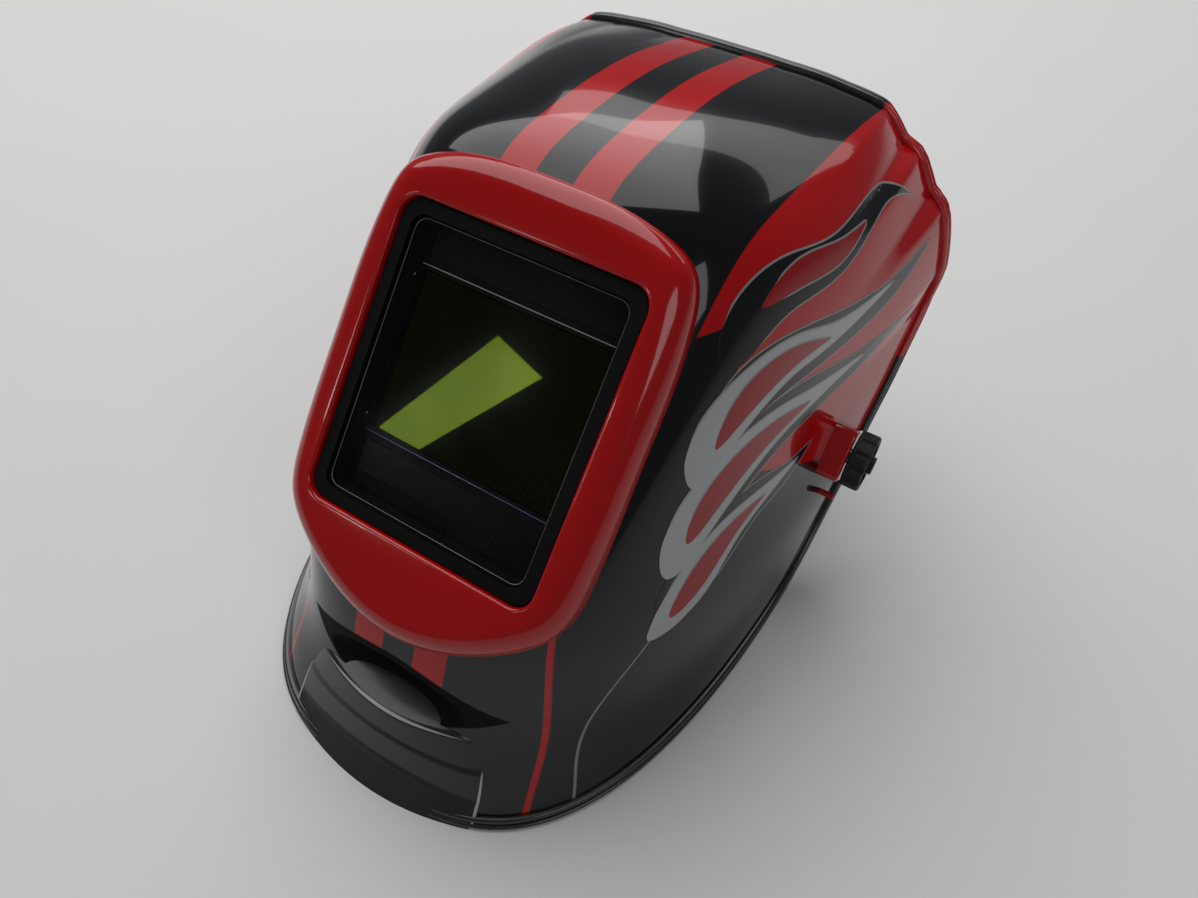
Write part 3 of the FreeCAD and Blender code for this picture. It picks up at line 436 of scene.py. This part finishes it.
def closed_spline(corners, count):
    """Smooth closed curve through the corners: a cubic spline of chord length, repeated three times round."""
    loop = np.array(corners * 3 + corners[:1], float)
    step = np.linalg.norm(np.diff(loop, axis=0), axis=1)
    knots = np.concatenate([[0], np.cumsum(step)])
    size = len(knots)
    bend, load = np.eye(size), np.zeros((size, size))
    for i in range(1, size - 1):
        a, b = step[i - 1], step[i]
        bend[i, i - 1:i + 2] = (a, 2 * (a + b), b)
        load[i, i - 1:i + 2] = (6 / a, -6 / a - 6 / b, 6 / b)
    curvature = np.linalg.solve(bend, load @ loop)
    first = knots[len(corners)]
    lap = knots[2 * len(corners)] - first
    t = first + lap * np.arange(count) / count
    k = np.searchsorted(knots, t, side="right") - 1
    s = ((t - knots[k]) / step[k])[:, None]
    h = step[k][:, None] ** 2 / 6
    return ((1 - s) * loop[k] + s * loop[k + 1]
            + h * (((1 - s) ** 3 - (1 - s)) * curvature[k] + (s ** 3 - s) * curvature[k + 1]))


def rounded_rectangle(width, height, radius, towards):
    """Point of a rounded rectangle in each direction: the corner arc where the ray meets it, else the side."""
    hw, hh = width / 2, height / 2
    cx, cy = hw - radius, hh - radius
    d = towards / np.linalg.norm(towards, axis=1, keepdims=True)
    a = np.abs(d) + 1e-9
    reach = np.minimum(hw / a[:, 0], hh / a[:, 1])
    corner = (a[:, 0] * reach > cx) & (a[:, 1] * reach > cy)
    b = a[:, 0] * cx + a[:, 1] * cy
    under = np.maximum(b ** 2 - cx ** 2 - cy ** 2 + radius ** 2, 0)
    reach = np.where(corner, b + np.sqrt(under), reach)
    return d * reach[:, None]


def in_window(flat, n):
    """Points (x, u) of the window's face, n out of it, in the shell's millimetres."""
    flat = np.asarray(flat, float)
    n = np.broadcast_to(n, flat.shape[:-1])
    x = flat[..., :1] * np.array([1.0, 0, 0])
    return WINDOW_CENTRE + x + flat[..., 1:] * UP_WINDOW + n[..., None] * OUT_OF_WINDOW


def window_frame(count):
    """Rows from just under the skin up the wall, over a wide round, across the face and into the opening."""
    left = [(-x, u) for x, u in reversed(OUTLINE_RIGHT[1:-1])]
    outline = closed_spline(list(OUTLINE_RIGHT) + left, count)
    tangent = np.roll(outline, -1, 0) - np.roll(outline, 1, 0)
    inwards = np.stack([tangent[:, 1], -tangent[:, 0]], -1)
    inwards /= np.linalg.norm(inwards, axis=1, keepdims=True)
    inwards *= -np.sign((inwards * outline).sum(1, keepdims=True))
    near = skin(*np.meshgrid(np.linspace(2.5, 9, 400), np.linspace(0.4, 2.75, 400)))
    near = (near - WINDOW_CENTRE).reshape(-1, 3)
    spots, depths = np.stack([near[:, 0], near @ UP_WINDOW], -1), near @ OUT_OF_WINDOW
    root = np.array([depths[np.argmin(((spots - p) ** 2).sum(1))] for p in outline]) - 2.0
    rise = np.minimum(FRAME_ROUND, FRAME_FRONT - root - 1)
    rows = [(outline, root), (outline, (root + FRAME_FRONT - rise) / 2)]
    for t in np.linspace(0, math.pi / 2, 13):
        inset = FRAME_ROUND * (1 - math.cos(t))
        rows.append((outline + inwards * inset, FRAME_FRONT - rise * (1 - math.sin(t))))
    crest = rows[-1][0]
    hole = rounded_rectangle(OPENING_W, OPENING_H, OPENING_R, crest)
    lip = rounded_rectangle(OPENING_W + 2 * OPENING_ROUND, OPENING_H + 2 * OPENING_ROUND,
                            OPENING_R + OPENING_ROUND, crest)
    for share in (0.33, 0.66):
        rows.append((crest + (lip - crest) * share, FRAME_FRONT))
    for t in np.linspace(0, math.pi / 2, 6):
        rows.append((lip + (hole - lip) * math.sin(t), FRAME_FRONT - OPENING_ROUND * (1 - math.cos(t))))
    rows.append((hole, -OPENING_DEPTH))
    return np.stack([in_window(flat, n) for flat, n in rows])


# Size of the boss's square and its distance out, from the root over the edge and into the stud's hole.
BOSS_ROWS = ((28, 117.0), (28, 130.0), (27.4, 130.7), (26.6, 131.0), (9, 131.0), (8.4, 130.4), (8.4, 118))


def pivot_boss(side):
    """Squares with rounded corners stacked along X, turned by 45 degrees to lie along the rim."""
    angle = np.linspace(0, 2 * math.pi, 48, endpoint=False)
    ring = np.stack([np.cos(angle), np.sin(angle)], -1)
    rows = []
    for size, x in BOSS_ROWS:
        square = rounded_rectangle(size, size, min(2.5 + (28 - size), size / 2 - 0.01), ring)
        turned = square @ np.array([[1, 1], [-1, 1]]) / math.sqrt(2)
        xs = np.full((48, 1), side * x)
        rows.append(np.concatenate([xs, turned + (PIVOT_Y, PIVOT_Z)], 1))
    return np.stack(rows)


def frame_paint():
    """Candy red lacquer of the window's frame and the bosses, whose roots inside the shell are black."""
    made, shader, place = finish("frame_paint", Coat_Weight=0.7, Coat_Roughness=0.04, Specular_IOR_Level=0.1)
    candy = place.noise(14.0, 4.0).mix((0.34, 0.0005, 0.001, 1), (0.42, 0.001, 0.002, 1))
    across = place.dot(ACROSS).size()
    boss_root = across.over(100, 1) * (1 - across.over(118.5, 0.5))
    feed(shader, Base_Color=boss_root.mix(candy, BLACK), Roughness=0.16 + 0.08 * place.noise(80.0, 5.0),
         Normal=place.bump(place.noise(700.0), 0.04, 0.0001))
    return made


shell = piece("shell_moulding", [
    (skin_sheet(480, 170, 0.0), (True, False), 0, HEAD),
    (rolled_lip(480), (True, True), 1, None),
    (window_frame(320), (False, True), 2, WINDOW_CENTRE - 30 * OUT_OF_WINDOW),
    (pivot_boss(1), (False, True), 2, (100, PIVOT_Y, PIVOT_Z)),
    (pivot_boss(-1), (False, True), 2, (-100, PIVOT_Y, PIVOT_Z)),
], [shell_paint(), lip_finish(), frame_paint()])
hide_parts("shell")
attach(shell, "helmet")

lining = piece("shell_lining", [(skin_sheet(240, 80, -WALL), (True, False), 0, HEAD)], [inside_finish()])
lining.data.flip_normals()
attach(lining, "helmet")

# ---------------------------------------------------------------------------
# Chin guard. A tongue moulded with the shell and standing proud of the chin, in dark grey nylon. A shelf
# runs back from its top edge into the hollow, two soft creases cross it, and a pale line is drawn round it.

# Half width, y of the middle and y of the side at the foot, half way up and at the top.
GUARD_LEVELS = ((56, -181, -170), (54, -169, -157.2), (48, -158, -145))
GUARD_HEIGHT, GUARD_ROUND = 46, 2


def guard_sheet():
    """y = front + (side - front) (x / half)^2 at each height, rounded over the top and back to the hollow."""
    levels = np.array(GUARD_LEVELS, float)
    turn = np.linspace(0, math.pi / 2, 9)[1:]
    shoulder = GUARD_HEIGHT - GUARD_ROUND
    z = np.concatenate([np.linspace(0, shoulder, 60), shoulder + GUARD_ROUND * np.sin(turn),
                        [GUARD_HEIGHT] * 3])
    pull = np.concatenate([np.zeros(60), GUARD_ROUND * (1 - np.cos(turn)), [8, 16, 26]])
    t = z / (GUARD_HEIGHT / 2)
    half, front, side = (spline_weights(t * 0.99999, 3) @ levels[:, i] for i in range(3))
    across = np.linspace(-1, 1, 121)
    x = half[:, None] * across
    height = z[:, None] * (1 - 0.13 * np.abs(across) ** 7)
    crease = smooth((35 - 7 * across ** 2 - height) / 2.5) + smooth((22 - 9 * across ** 2 - height) / 2.5)
    y = front[:, None] + (side - front)[:, None] * across ** 2 + 1.6 - 0.8 * crease
    flank = np.linspace(1, 0, 6)[:-1]
    left = np.stack([-half[:, None] + 5 * flank, y[:, :1] + 30 * flank, height[:, :1] + 0 * flank], -1)
    right = left[:, ::-1] * (-1, 1, 1)
    plan = np.concatenate([left, np.stack([x, y, height], -1), right], 1)
    plan[..., 0] *= (1 - pull / 120)[:, None]
    plan[..., 1] += pull[:, None]
    return plan


def guard_finish():
    """Dark grey with a pale drawn edge; the lower half has a coarse moulded grain."""
    made, shader, place = finish("chin_guard", Coat_Roughness=0.15, Specular_IOR_Level=0.25)
    local = layout(place)
    across, back, height = local.dot(ACROSS).size(), local.dot(BACK), local.dot(UP)
    spread = across * across
    side_edge = (across + 0.0041 * (height * height) - 0.015 * height).over(54.6, 0.3)
    behind = (back - 0.0045 * spread).over(-155.2, 0.4)
    fall = (spread * spread * spread) * 4.6e-10
    top_edge = (height + fall).over(45.0, 0.3) * (1 - behind)
    outline = side_edge.node("ShaderNodeMath", {"operation": "MAXIMUM"}, {0: side_edge, 1: top_edge})
    grain = place.noise(1100.0, 3.0, 0.6)
    low = 1 - (height + 0.0025 * spread).over(20.0, 4.0)
    grey = place.noise(40.0, 4.0).mix((0.012, 0.012, 0.013, 1), (0.020, 0.020, 0.021, 1))
    feed(shader, Base_Color=outline.mix(grey, (0.45, 0.45, 0.43, 1)), Roughness=0.30 + 0.3 * low,
         Coat_Weight=0.35 - 0.35 * low, Normal=place.bump(grain * low, 0.6, 0.0005))
    return made


guard = piece("chin_guard", [(guard_sheet(), (False, False), 0, (0, -100, 20))], [guard_finish()])
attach(guard, "helmet")

# ---------------------------------------------------------------------------
# Flames on both sides. Hot-rod licks sprayed in black, silver and red, each with a thin drawn edge.
# Each is a coat laid on the wall, 0.05 mm proud of the coat below it.

PIN, JET, SILVER, HEART = range(4)
COAT = 0.05
# Spine through (y, z) points from the root back to the tip, half width at each, colour, order of spraying.
LICKS = (
    (((-12, 188), (6, 200), (30, 204), (65, 199), (108, 200), (134, 188)), (6, 10, 10, 7, 3, 0), JET, 0),
    (((-30, 156), (3, 172), (54, 164), (99, 159), (141, 164)), (9, 14, 11, 6, 0), JET, 0),
    (((-54, 120), (-11, 140), (34, 140), (79, 131), (132, 130)), (12, 16, 12, 6, 0), JET, 0),
    (((-74, 94), (-40, 106), (-8, 110), (18, 106), (42, 108)), (10, 15, 11, 6, 0), JET, 0),
    (((-40, 146), (-18, 166), (20, 173), (56, 165), (104, 163)), (8, 12, 10, 5, 0), SILVER, 2),
    (((-64, 112), (-36, 134), (2, 143), (38, 139), (86, 131)), (8, 14, 11, 5, 0), SILVER, 2),
    (((-80, 84), (-52, 99), (-24, 108), (4, 108), (30, 107)), (6, 12, 9, 4, 0), SILVER, 2),
    (((12, 203), (36, 205), (62, 200), (90, 199)), (1.5, 5, 4, 0), HEART, 2),
    (((-26, 158), (-4, 170), (24, 172), (52, 164)), (2, 6.5, 5, 0), HEART, 4),
    (((-50, 122), (-28, 136), (4, 142), (38, 137)), (3, 7.5, 5.5, 0), HEART, 4),
    (((-68, 90), (-48, 100), (-24, 107), (2, 107)), (3, 6.5, 4.5, 0), HEART, 4),
)
EDGE_WIDTH = 0.8
CLEAR_OF_WALL = 160


def lick(spine, widths, grow):
    """Spine c + width w times its normal: the width opens round at the root and closes to a point."""
    t = np.linspace(0, len(spine) - 1.0001, 120)
    weights = spline_weights(t, len(spine))
    centre = weights @ np.array(spine, float)
    share = t / t[-1]
    width = np.maximum(weights @ np.array(widths, float), 0)
    width *= np.sqrt(np.clip(share / 0.12, 0, 1) * (2 - np.clip(share / 0.12, 0, 1)))
    width += grow * np.clip((1 - share) / 0.02, 0.1, 1) * smooth((share - 0.12) / 0.1)
    along = np.gradient(centre, axis=0)
    along /= np.linalg.norm(along, axis=1, keepdims=True)
    normal = np.stack([-along[:, 1], along[:, 0]], -1)
    across = np.linspace(-1, 1, 9)
    flat = centre[:, None] + width[:, None, None] * across[:, None] * normal[:, None]
    return np.concatenate([np.zeros(flat.shape[:2] + (1,)), flat], -1)


def paint(name, low, high, metallic, roughness):
    """Sprayed colour under the clear coat, with the fine flake of a metallic where there is one."""
    made, shader, place = finish(name, Coat_Weight=0.55, Coat_Roughness=0.03, Metallic=metallic,
                                 Specular_IOR_Level=0.1)
    flake = place.noise(2500.0, 1.0)
    cloud = place.noise(12.0, 4.0)
    blend = 0.6 * cloud + 0.4 * flake
    feed(shader, Base_Color=blend.mix(low, high), Roughness=roughness + 0.1 * flake,
         Normal=place.bump(place.noise(900.0), 0.05, 0.0001))
    return made


FLAME_FINISHES = [
    paint("flame_edge", (0.22, 0.21, 0.20, 1), (0.30, 0.29, 0.28, 1), 0.0, 0.3),
    paint("flame_black", (0.0025, 0.0025, 0.003, 1), (0.0035, 0.0035, 0.004, 1), 0.0, 0.12),
    paint("flame_silver", (0.30, 0.305, 0.31, 1), (0.42, 0.425, 0.43, 1), 0.3, 0.3),
    paint("flame_red", (0.26, 0.003, 0.005, 1), (0.32, 0.005, 0.007, 1), 0.0, 0.15),
]


def bake(thing):
    """Applies the modifiers of a piece to its mesh."""
    bpy.context.view_layer.update()
    done = bpy.data.meshes.new_from_object(thing.evaluated_get(bpy.context.evaluated_depsgraph_get()))
    thing.modifiers.clear()
    thing.data = done


def corners_of(thing):
    """Places of a piece's vertices, one row each."""
    points = np.empty(len(thing.data.vertices) * 3, np.float32)
    thing.data.vertices.foreach_get("co", points)
    return points.reshape(-1, 3)


def flames(name, side):
    """All licks of one side, projected along X on the wall and lifted coat by coat."""
    sheets, lifts = [], []
    for spine, widths, colour, order in LICKS:
        for grow, tone, coat in ((EDGE_WIDTH, PIN, order), (0, colour, order + 1)):
            grid = lick(spine, widths, grow)
            grid[..., 0] = side * CLEAR_OF_WALL
            sheets.append((grid, (False, False), tone, (0, 60, 120)))
            lifts.append(np.full(grid.shape[0] * grid.shape[1], coat * COAT))
    thing = piece(name, sheets, FLAME_FINISHES)
    wrap = thing.modifiers.new("on_the_wall", "SHRINKWRAP")
    wrap.target = shell
    wrap.wrap_method = "PROJECT"
    wrap.use_project_x = True
    wrap.use_positive_direction = side < 0
    wrap.use_negative_direction = side > 0
    wrap.wrap_mode = "ABOVE_SURFACE"
    wrap.offset = 0.0001
    bake(thing)
    points = corners_of(thing)
    points[:, 0] += side * np.concatenate(lifts) / 1000
    thing.data.vertices.foreach_set("co", points.ravel())
    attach(thing, "helmet")


flames("flames_left", 1)
flames("flames_right", -1)

# ---------------------------------------------------------------------------
# Window: a soft black gasket, a clear cover lens, and the filter cartridge behind it with its dark
# coated glass, two solar strips and four light sensors.


def dress(names, made):
    """Gives CAD pieces a finish in the only slot of their meshes."""
    for name in names:
        mesh = frame["nodes"][name].data
        mesh.materials.clear()
        mesh.materials.append(made)


def plastic(name, low, high, roughness, grain_size, grain_depth, coat=0.0, shine=0.4):
    """Moulded plastic: faint clouding, fine spark texture and a little handling shine."""
    made, shader, place = finish(name, Coat_Weight=coat, Coat_Roughness=0.15, Specular_IOR_Level=shine)
    cloud = place.noise(30.0, 4.0)
    grain = place.noise(grain_size, 3.0, 0.6)
    rub = place.noise(90.0, 6.0, 0.7)
    feed(shader, Base_Color=cloud.mix(low, high), Roughness=roughness + 0.15 * rub + 0.1 * grain,
         Normal=place.bump(grain, grain_depth, 0.0003))
    return made


def cover_lens_finish():
    """Clear polycarbonate with a few wiped smears."""
    made, shader, place = finish("cover_lens", Specular_IOR_Level=0.3)
    smear = place.noise(35.0, 5.0, 0.7)
    feed(shader, Base_Color=smear.mix((0.01, 0.012, 0.01, 1), (0.04, 0.045, 0.04, 1)),
         Roughness=0.05 + 0.1 * smear, Alpha=0.02 + 0.03 * smear.over(0.5, 0.3))
    return made


def filter_glass_finish():
    """Dark glass whose mirror coat turns what it reflects yellow-green."""
    made, shader, place = finish("filter_glass", Metallic=1.0)
    cloud = place.noise(18.0, 3.0)
    feed(shader, Base_Color=cloud.mix((0.012, 0.018, 0.0012, 1), (0.014, 0.020, 0.0014, 1)),
         Roughness=0.012 + 0.008 * cloud)
    return made


def solar_finish():
    """Blue-black cells with fine silver fingers."""
    made, shader, place = finish("solar_cell", Coat_Weight=0.05, Coat_Roughness=0.1, Specular_IOR_Level=0.08)
    fingers = place.node("ShaderNodeTexWave", {"bands_direction": "X"}, {"Vector": place, "Scale": 160.0}, 1)
    line = fingers.over(0.94, 0.04)
    feed(shader, Base_Color=line.mix((0.002, 0.002, 0.003, 1), (0.004, 0.004, 0.005, 1)),
         Roughness=0.25 + 0.1 * place.noise(200.0))
    return made


dress(["window_gasket", "filter_carrier"],
      plastic("gasket_black", (0.002, 0.002, 0.002, 1), (0.004, 0.004, 0.004, 1), 0.38, 1500.0, 0.15,
              shine=0.12))
dress(["filter_housing"],
      plastic("cartridge_black", (0.002, 0.002, 0.002, 1), (0.003, 0.003, 0.003, 1), 0.45, 1600.0, 0.15,
              shine=0.1))
dress(["cover_lens", "inner_cover_lens"], cover_lens_finish())
dress(["lcd_glass"], filter_glass_finish())
dress(["solar_strips"], solar_finish())
dress(["arc_sensors"],
      plastic("sensor_dome", (0.001, 0.001, 0.002, 1), (0.003, 0.002, 0.004, 1), 0.08, 900.0, 0.02, coat=0.8))


# Painted highlights: light bars along the upper and the lower edge of the filter glass; the lower one is
# violet.
GLASS_HALF_WIDTH, GLASS_N = 47.5, -11.0
EDGE_HIGHLIGHT_BAR = ((-0.35, GLASS_N), (0.35, GLASS_N), (0.0, -10.1))
# The cut edge of the cover lens is a painted highlight bar.
RIM_HIGHLIGHT_BAR = ((101.6, -1.49), (100.9, -1.49), (101.25, -1.25))


def glass_edge_highlight(name, u, tone):
    """Painted highlight along an edge of the filter glass: a coloured bar, a triangle of (u, n) points carried
    along X.
    """
    x = np.linspace(-GLASS_HALF_WIDTH, GLASS_HALF_WIDTH, 24)
    profile = np.array(EDGE_HIGHLIGHT_BAR)
    flat = np.stack([np.broadcast_to(x[:, None], (24, 3)), np.broadcast_to(u + profile[:, 0], (24, 3))], -1)
    grid = in_window(flat, np.broadcast_to(profile[:, 1], (24, 3)))
    made, shader, place = finish(name, Coat_Weight=0.5)
    feed(shader, Base_Color=place.noise(60.0, 3.0).mix(tone, tuple(0.7 * c for c in tone[:3]) + (1,)),
         Roughness=0.3 + 0.1 * place.noise(300.0))
    bar = piece(name, [(grid, (False, True), 0, None)], [made])
    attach(bar, "helmet")


def lens_rim_highlight():
    """Cut edge of the cover lens, painted light grey as a painted highlight: a triangle carried round a rounded
    rectangle.
    """
    angle = np.linspace(0, 2 * math.pi, 240, endpoint=False)
    ring = rounded_rectangle(1, 1, 0.01, np.stack([np.cos(angle), np.sin(angle)], -1)) * (103, 122)
    rows = [in_window(rounded_rectangle(width, width + 19, 5.5, ring), n) for width, n in RIM_HIGHLIGHT_BAR]
    made, shader, place = finish("lens_rim_highlight", Coat_Weight=0.5)
    feed(shader, Base_Color=place.noise(25.0, 3.0).mix((0.05, 0.05, 0.05, 1), (0.30, 0.30, 0.29, 1)),
         Roughness=0.3 + 0.1 * place.noise(300.0))
    bar = piece("lens_rim_highlight", [(np.stack(rows, 1), (True, True), 0, None)], [made])
    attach(bar, "helmet")


lens_rim_highlight()
glass_edge_highlight("glass_edge_highlight_upper", 42.0, (0.60, 0.58, 0.56, 1))
glass_edge_highlight("glass_edge_highlight_lower", -34.0, (0.05, 0.04, 0.22, 1))

# ---------------------------------------------------------------------------
# Tension knobs, studs and tilt stops at the pivots. Fluted black nylon knobs screw on plated steel studs
# and clamp the headgear's arms to the shell through steel washers; the red nylon stops limit the tilt.

dress(["tension_knob_left", "tension_knob_right"],
      plastic("knob_black", (0.007, 0.007, 0.007, 1), (0.014, 0.014, 0.014, 1), 0.42, 1300.0, 0.35))
dress(["tilt_stop_left", "tilt_stop_right"],
      plastic("stop_red", (0.30, 0.006, 0.006, 1), (0.38, 0.010, 0.010, 1), 0.35, 1300.0, 0.2))


def steel_finish():
    """Zinc-plated steel with fine turning marks."""
    made, shader, place = finish("steel", Metallic=1.0)
    marks = place.noise(400.0, 6.0, 0.8)
    feed(shader, Base_Color=marks.mix((0.45, 0.45, 0.44, 1), (0.62, 0.62, 0.60, 1)),
         Roughness=0.28 + 0.2 * marks, Normal=place.bump(marks, 0.1, 0.0001))
    return made


dress(["pivot_stud_left", "pivot_stud_right", "friction_washer_left", "friction_washer_right",
       "carrier_screws", "coin_cell"], steel_finish())

# ---------------------------------------------------------------------------
# Inner side of the cartridge. A grey nylon retainer with two sliding latches holds the filter in its
# carrier. Three dials, a red test button and a battery drawer are worked from inside the shell.

dress(["retainer_frame", "latch_left", "latch_right", "battery_drawer"],
      plastic("retainer_grey", (0.035, 0.035, 0.038, 1), (0.05, 0.05, 0.054, 1), 0.42, 1200.0, 0.25))
dress(["shade_dial", "sensitivity_dial", "delay_dial"],
      plastic("dial_grey", (0.16, 0.16, 0.165, 1), (0.20, 0.20, 0.205, 1), 0.45, 1200.0, 0.25))
dress(["test_button"],
      plastic("button_red", (0.45, 0.012, 0.010, 1), (0.55, 0.018, 0.014, 1), 0.35, 1200.0, 0.2))

# ---------------------------------------------------------------------------
# Headgear. Satin black nylon bands and straps joined by pegs and rivets hang from the two side arms.
# A ratchet in its case at the nape draws the rear band in when its large rubbery knob is turned.

dress(["front_band", "rear_band", "crown_strap_front", "crown_strap_rear", "strap_link",
       "side_arm_left", "side_arm_right"],
      plastic("band_nylon", (0.012, 0.012, 0.013, 1), (0.022, 0.022, 0.023, 1), 0.40, 1100.0, 0.3))
dress(["strap_pegs", "arm_rivets"],
      plastic("peg_nylon", (0.02, 0.02, 0.021, 1), (0.03, 0.03, 0.031, 1), 0.35, 1100.0, 0.2))
dress(["ratchet_housing"],
      plastic("case_nylon", (0.014, 0.014, 0.015, 1), (0.024, 0.024, 0.025, 1), 0.42, 1000.0, 0.35))
dress(["ratchet_knob"],
      plastic("knob_rubber", (0.010, 0.010, 0.011, 1), (0.020, 0.020, 0.021, 1), 0.62, 1500.0, 0.4))

# ---------------------------------------------------------------------------
# Pads. The sweatband at the brow and the pad at the nape are foam in woven charcoal cloth, full in the
# middle and drawn in at the edges. They are blown up as cloth from the solids that stand for them.


def woven_finish():
    """Charcoal cloth: threads of 0.9 mm over and under one another, faded where it is handled."""
    made, shader, place = finish("pad_cloth", Sheen_Weight=0.25, Sheen_Roughness=0.4, Specular_IOR_Level=0.2)
    warp = place.node("ShaderNodeTexWave", {"bands_direction": "Z"}, {"Vector": place, "Scale": 175.0}, 1)
    weft = place.node("ShaderNodeTexWave", {"bands_direction": "X"}, {"Vector": place, "Scale": 175.0}, 1)
    thread = warp * weft + (1 - warp) * (1 - weft)
    fade = place.noise(22.0, 5.0, 0.6)
    feed(shader, Base_Color=(0.6 * thread + 0.4 * fade).mix((0.010, 0.010, 0.011, 1), (0.045, 0.045, 0.048, 1)),
         Roughness=0.75 + 0.2 * thread, Normal=place.bump(thread, 0.6, 0.0004))
    return made


PAD_CELL, PAD_SWELL, PAD_DRAWN_IN, CLOTH_STEPS = 0.003, 0.0022, 0.001, 20


def padded(name, cell, cap, made):
    """A closed copy of a pad drawn in by 1 mm, then blown up as cloth; no point moves further than cap."""
    thing = bpy.data.objects.new(name + "_cloth", frame["nodes"][name].data.copy())
    bpy.context.scene.collection.objects.link(thing)
    work = bmesh.new()
    work.from_mesh(thing.data)
    bmesh.ops.remove_doubles(work, verts=work.verts, dist=0.00002)
    work.to_mesh(thing.data)
    work.free()
    even = thing.modifiers.new("even", "REMESH")
    even.mode = "VOXEL"
    even.voxel_size = cell
    drawn = thing.modifiers.new("drawn_in", "DISPLACE")
    drawn.strength = -PAD_DRAWN_IN
    drawn.mid_level = 0
    bake(thing)
    start = corners_of(thing)
    cloth = thing.modifiers.new("swell", "CLOTH")
    cloth.settings.use_pressure = True
    cloth.settings.uniform_pressure_force = 4
    cloth.settings.effector_weights.gravity = 0
    for step in range(1, CLOTH_STEPS + 1):
        bpy.context.scene.frame_set(step)
    bake(thing)
    bpy.context.scene.frame_set(1)
    move = corners_of(thing) - start
    length = np.linalg.norm(move, axis=1, keepdims=True)
    move *= np.minimum(1, cap / np.maximum(length, 1e-9))
    thing.data.vertices.foreach_set("co", (start + move).astype(np.float32).ravel())
    round_off = thing.modifiers.new("round_off", "SUBSURF")
    round_off.levels = round_off.render_levels = 1
    bake(thing)
    thing.data.materials.clear()
    thing.data.materials.append(made)
    thing.data.polygons.foreach_set("use_smooth", np.ones(len(thing.data.polygons), bool))
    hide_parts(name)
    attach(thing, "headgear")


pad_cloth = woven_finish()
padded("sweatband", PAD_CELL, PAD_SWELL, pad_cloth)
padded("nape_pad", PAD_CELL, PAD_SWELL, pad_cloth)

# ---------------------------------------------------------------------------
# Scene. A plain pale floor, soft lamps over and behind the helmet, and a glowing card that the filter
# glass mirrors to the camera, which looks down on the front and the left side.

EYE = np.array([170.1, -240.3, 443.6])


def floor_finish():
    """Plain pale matt floor."""
    made, shader, place = finish("floor")
    feed(shader, Base_Color=place.noise(3.0).mix((0.70, 0.69, 0.68, 1), (0.74, 0.73, 0.72, 1)),
         Roughness=0.6 + 0.1 * place.noise(20.0))
    return made


def stage_card(name, corners, made):
    """A flat card through four corners that belongs to the stage."""
    mesh = bpy.data.meshes.new(name)
    mesh.from_pydata(corners, [], [(0, 1, 2, 3)])
    mesh.materials.append(made)
    card = bpy.data.objects.new(name, mesh)
    bpy.context.scene.collection.objects.link(card)
    return card


stage_card("floor", [(-4, -4, 0), (4, -4, 0), (4, 4, 0), (-4, 4, 0)], floor_finish())


def area_light(name, place, aim, size, power):
    """Soft rectangular lamp at a place, turned to face a point."""
    data = bpy.data.lights.new(name, "AREA")
    data.shape = "RECTANGLE"
    data.size, data.size_y = size
    data.energy = power
    lamp = bpy.data.objects.new(name, data)
    bpy.context.scene.collection.objects.link(lamp)
    lamp.location = place
    direction = Vector(aim) - Vector(place)
    lamp.rotation_euler = direction.to_track_quat("-Z", "Y").to_euler()


area_light("overhead_lamp", (-1.1, 0.9, 2.2), (0, 0, 0.1), (3.2, 2.4), 62)
area_light("window_lamp", (1.6, -0.9, 1.5), (0, 0, 0.1), (1.2, 0.8), 7)
area_light("strip_lamp", (-0.1, 1.3, 0.9), (0, 0.05, 0.2), (1.6, 0.25), 2)

# Corners (x, u) of the bright patch that is seen in the glass, and how many times further the card is.
PATCH = ((-42, -31), (-20, -32), (22, 19), (-3, 27))
CARD_FAR = 4.0


def glow_finish():
    """Soft white glow, uneven as that of a lamp behind cloth."""
    made, shader, place = finish("glow_card", Emission_Strength=11.0)
    cloud = place.noise(3.0, 2.0).over(0.45, 0.3)
    feed(shader, Emission_Color=cloud.mix((0.45, 0.50, 0.45, 1), (1.0, 1.0, 1.0, 1)))
    return made


def glow_card():
    """Card on the lines from the eye's mirror image through the corners of the patch in the glass."""
    above_glass = (EYE - WINDOW_CENTRE) @ OUT_OF_WINDOW - GLASS_N
    mirrored_eye = EYE - 2 * above_glass * OUT_OF_WINDOW
    corners = (mirrored_eye + CARD_FAR * (in_window(PATCH, GLASS_N) - mirrored_eye)) / 1000 + ORIGIN
    card = stage_card("glow_card", corners.tolist(), glow_finish())
    card.visible_diffuse = card.visible_camera = False


glow_card()

world = bpy.data.worlds.new("studio")
bpy.context.scene.world = world
world.use_nodes = True
sky = world.node_tree.nodes["Background"]
sky.inputs["Color"].default_value = (0.85, 0.88, 0.95, 1)
sky.inputs["Strength"].default_value = 0.15

camera = bpy.data.objects.new("camera", bpy.data.cameras.new("camera"))
bpy.context.scene.collection.objects.link(camera)
right, above, behind = (0.8496, 0.5274, 0), (-0.4152, 0.6689, 0.6166), (0.3252, -0.5239, 0.7873)
turn = Matrix((right, above, behind)).transposed().to_4x4()
camera.matrix_world = Matrix.Translation(Vector(EYE / 1000 + ORIGIN)) @ turn
camera.data.lens = 27.05
camera.data.sensor_width = 36
bpy.context.scene.camera = camera
bpy.context.scene.view_settings.view_transform = "Standard"
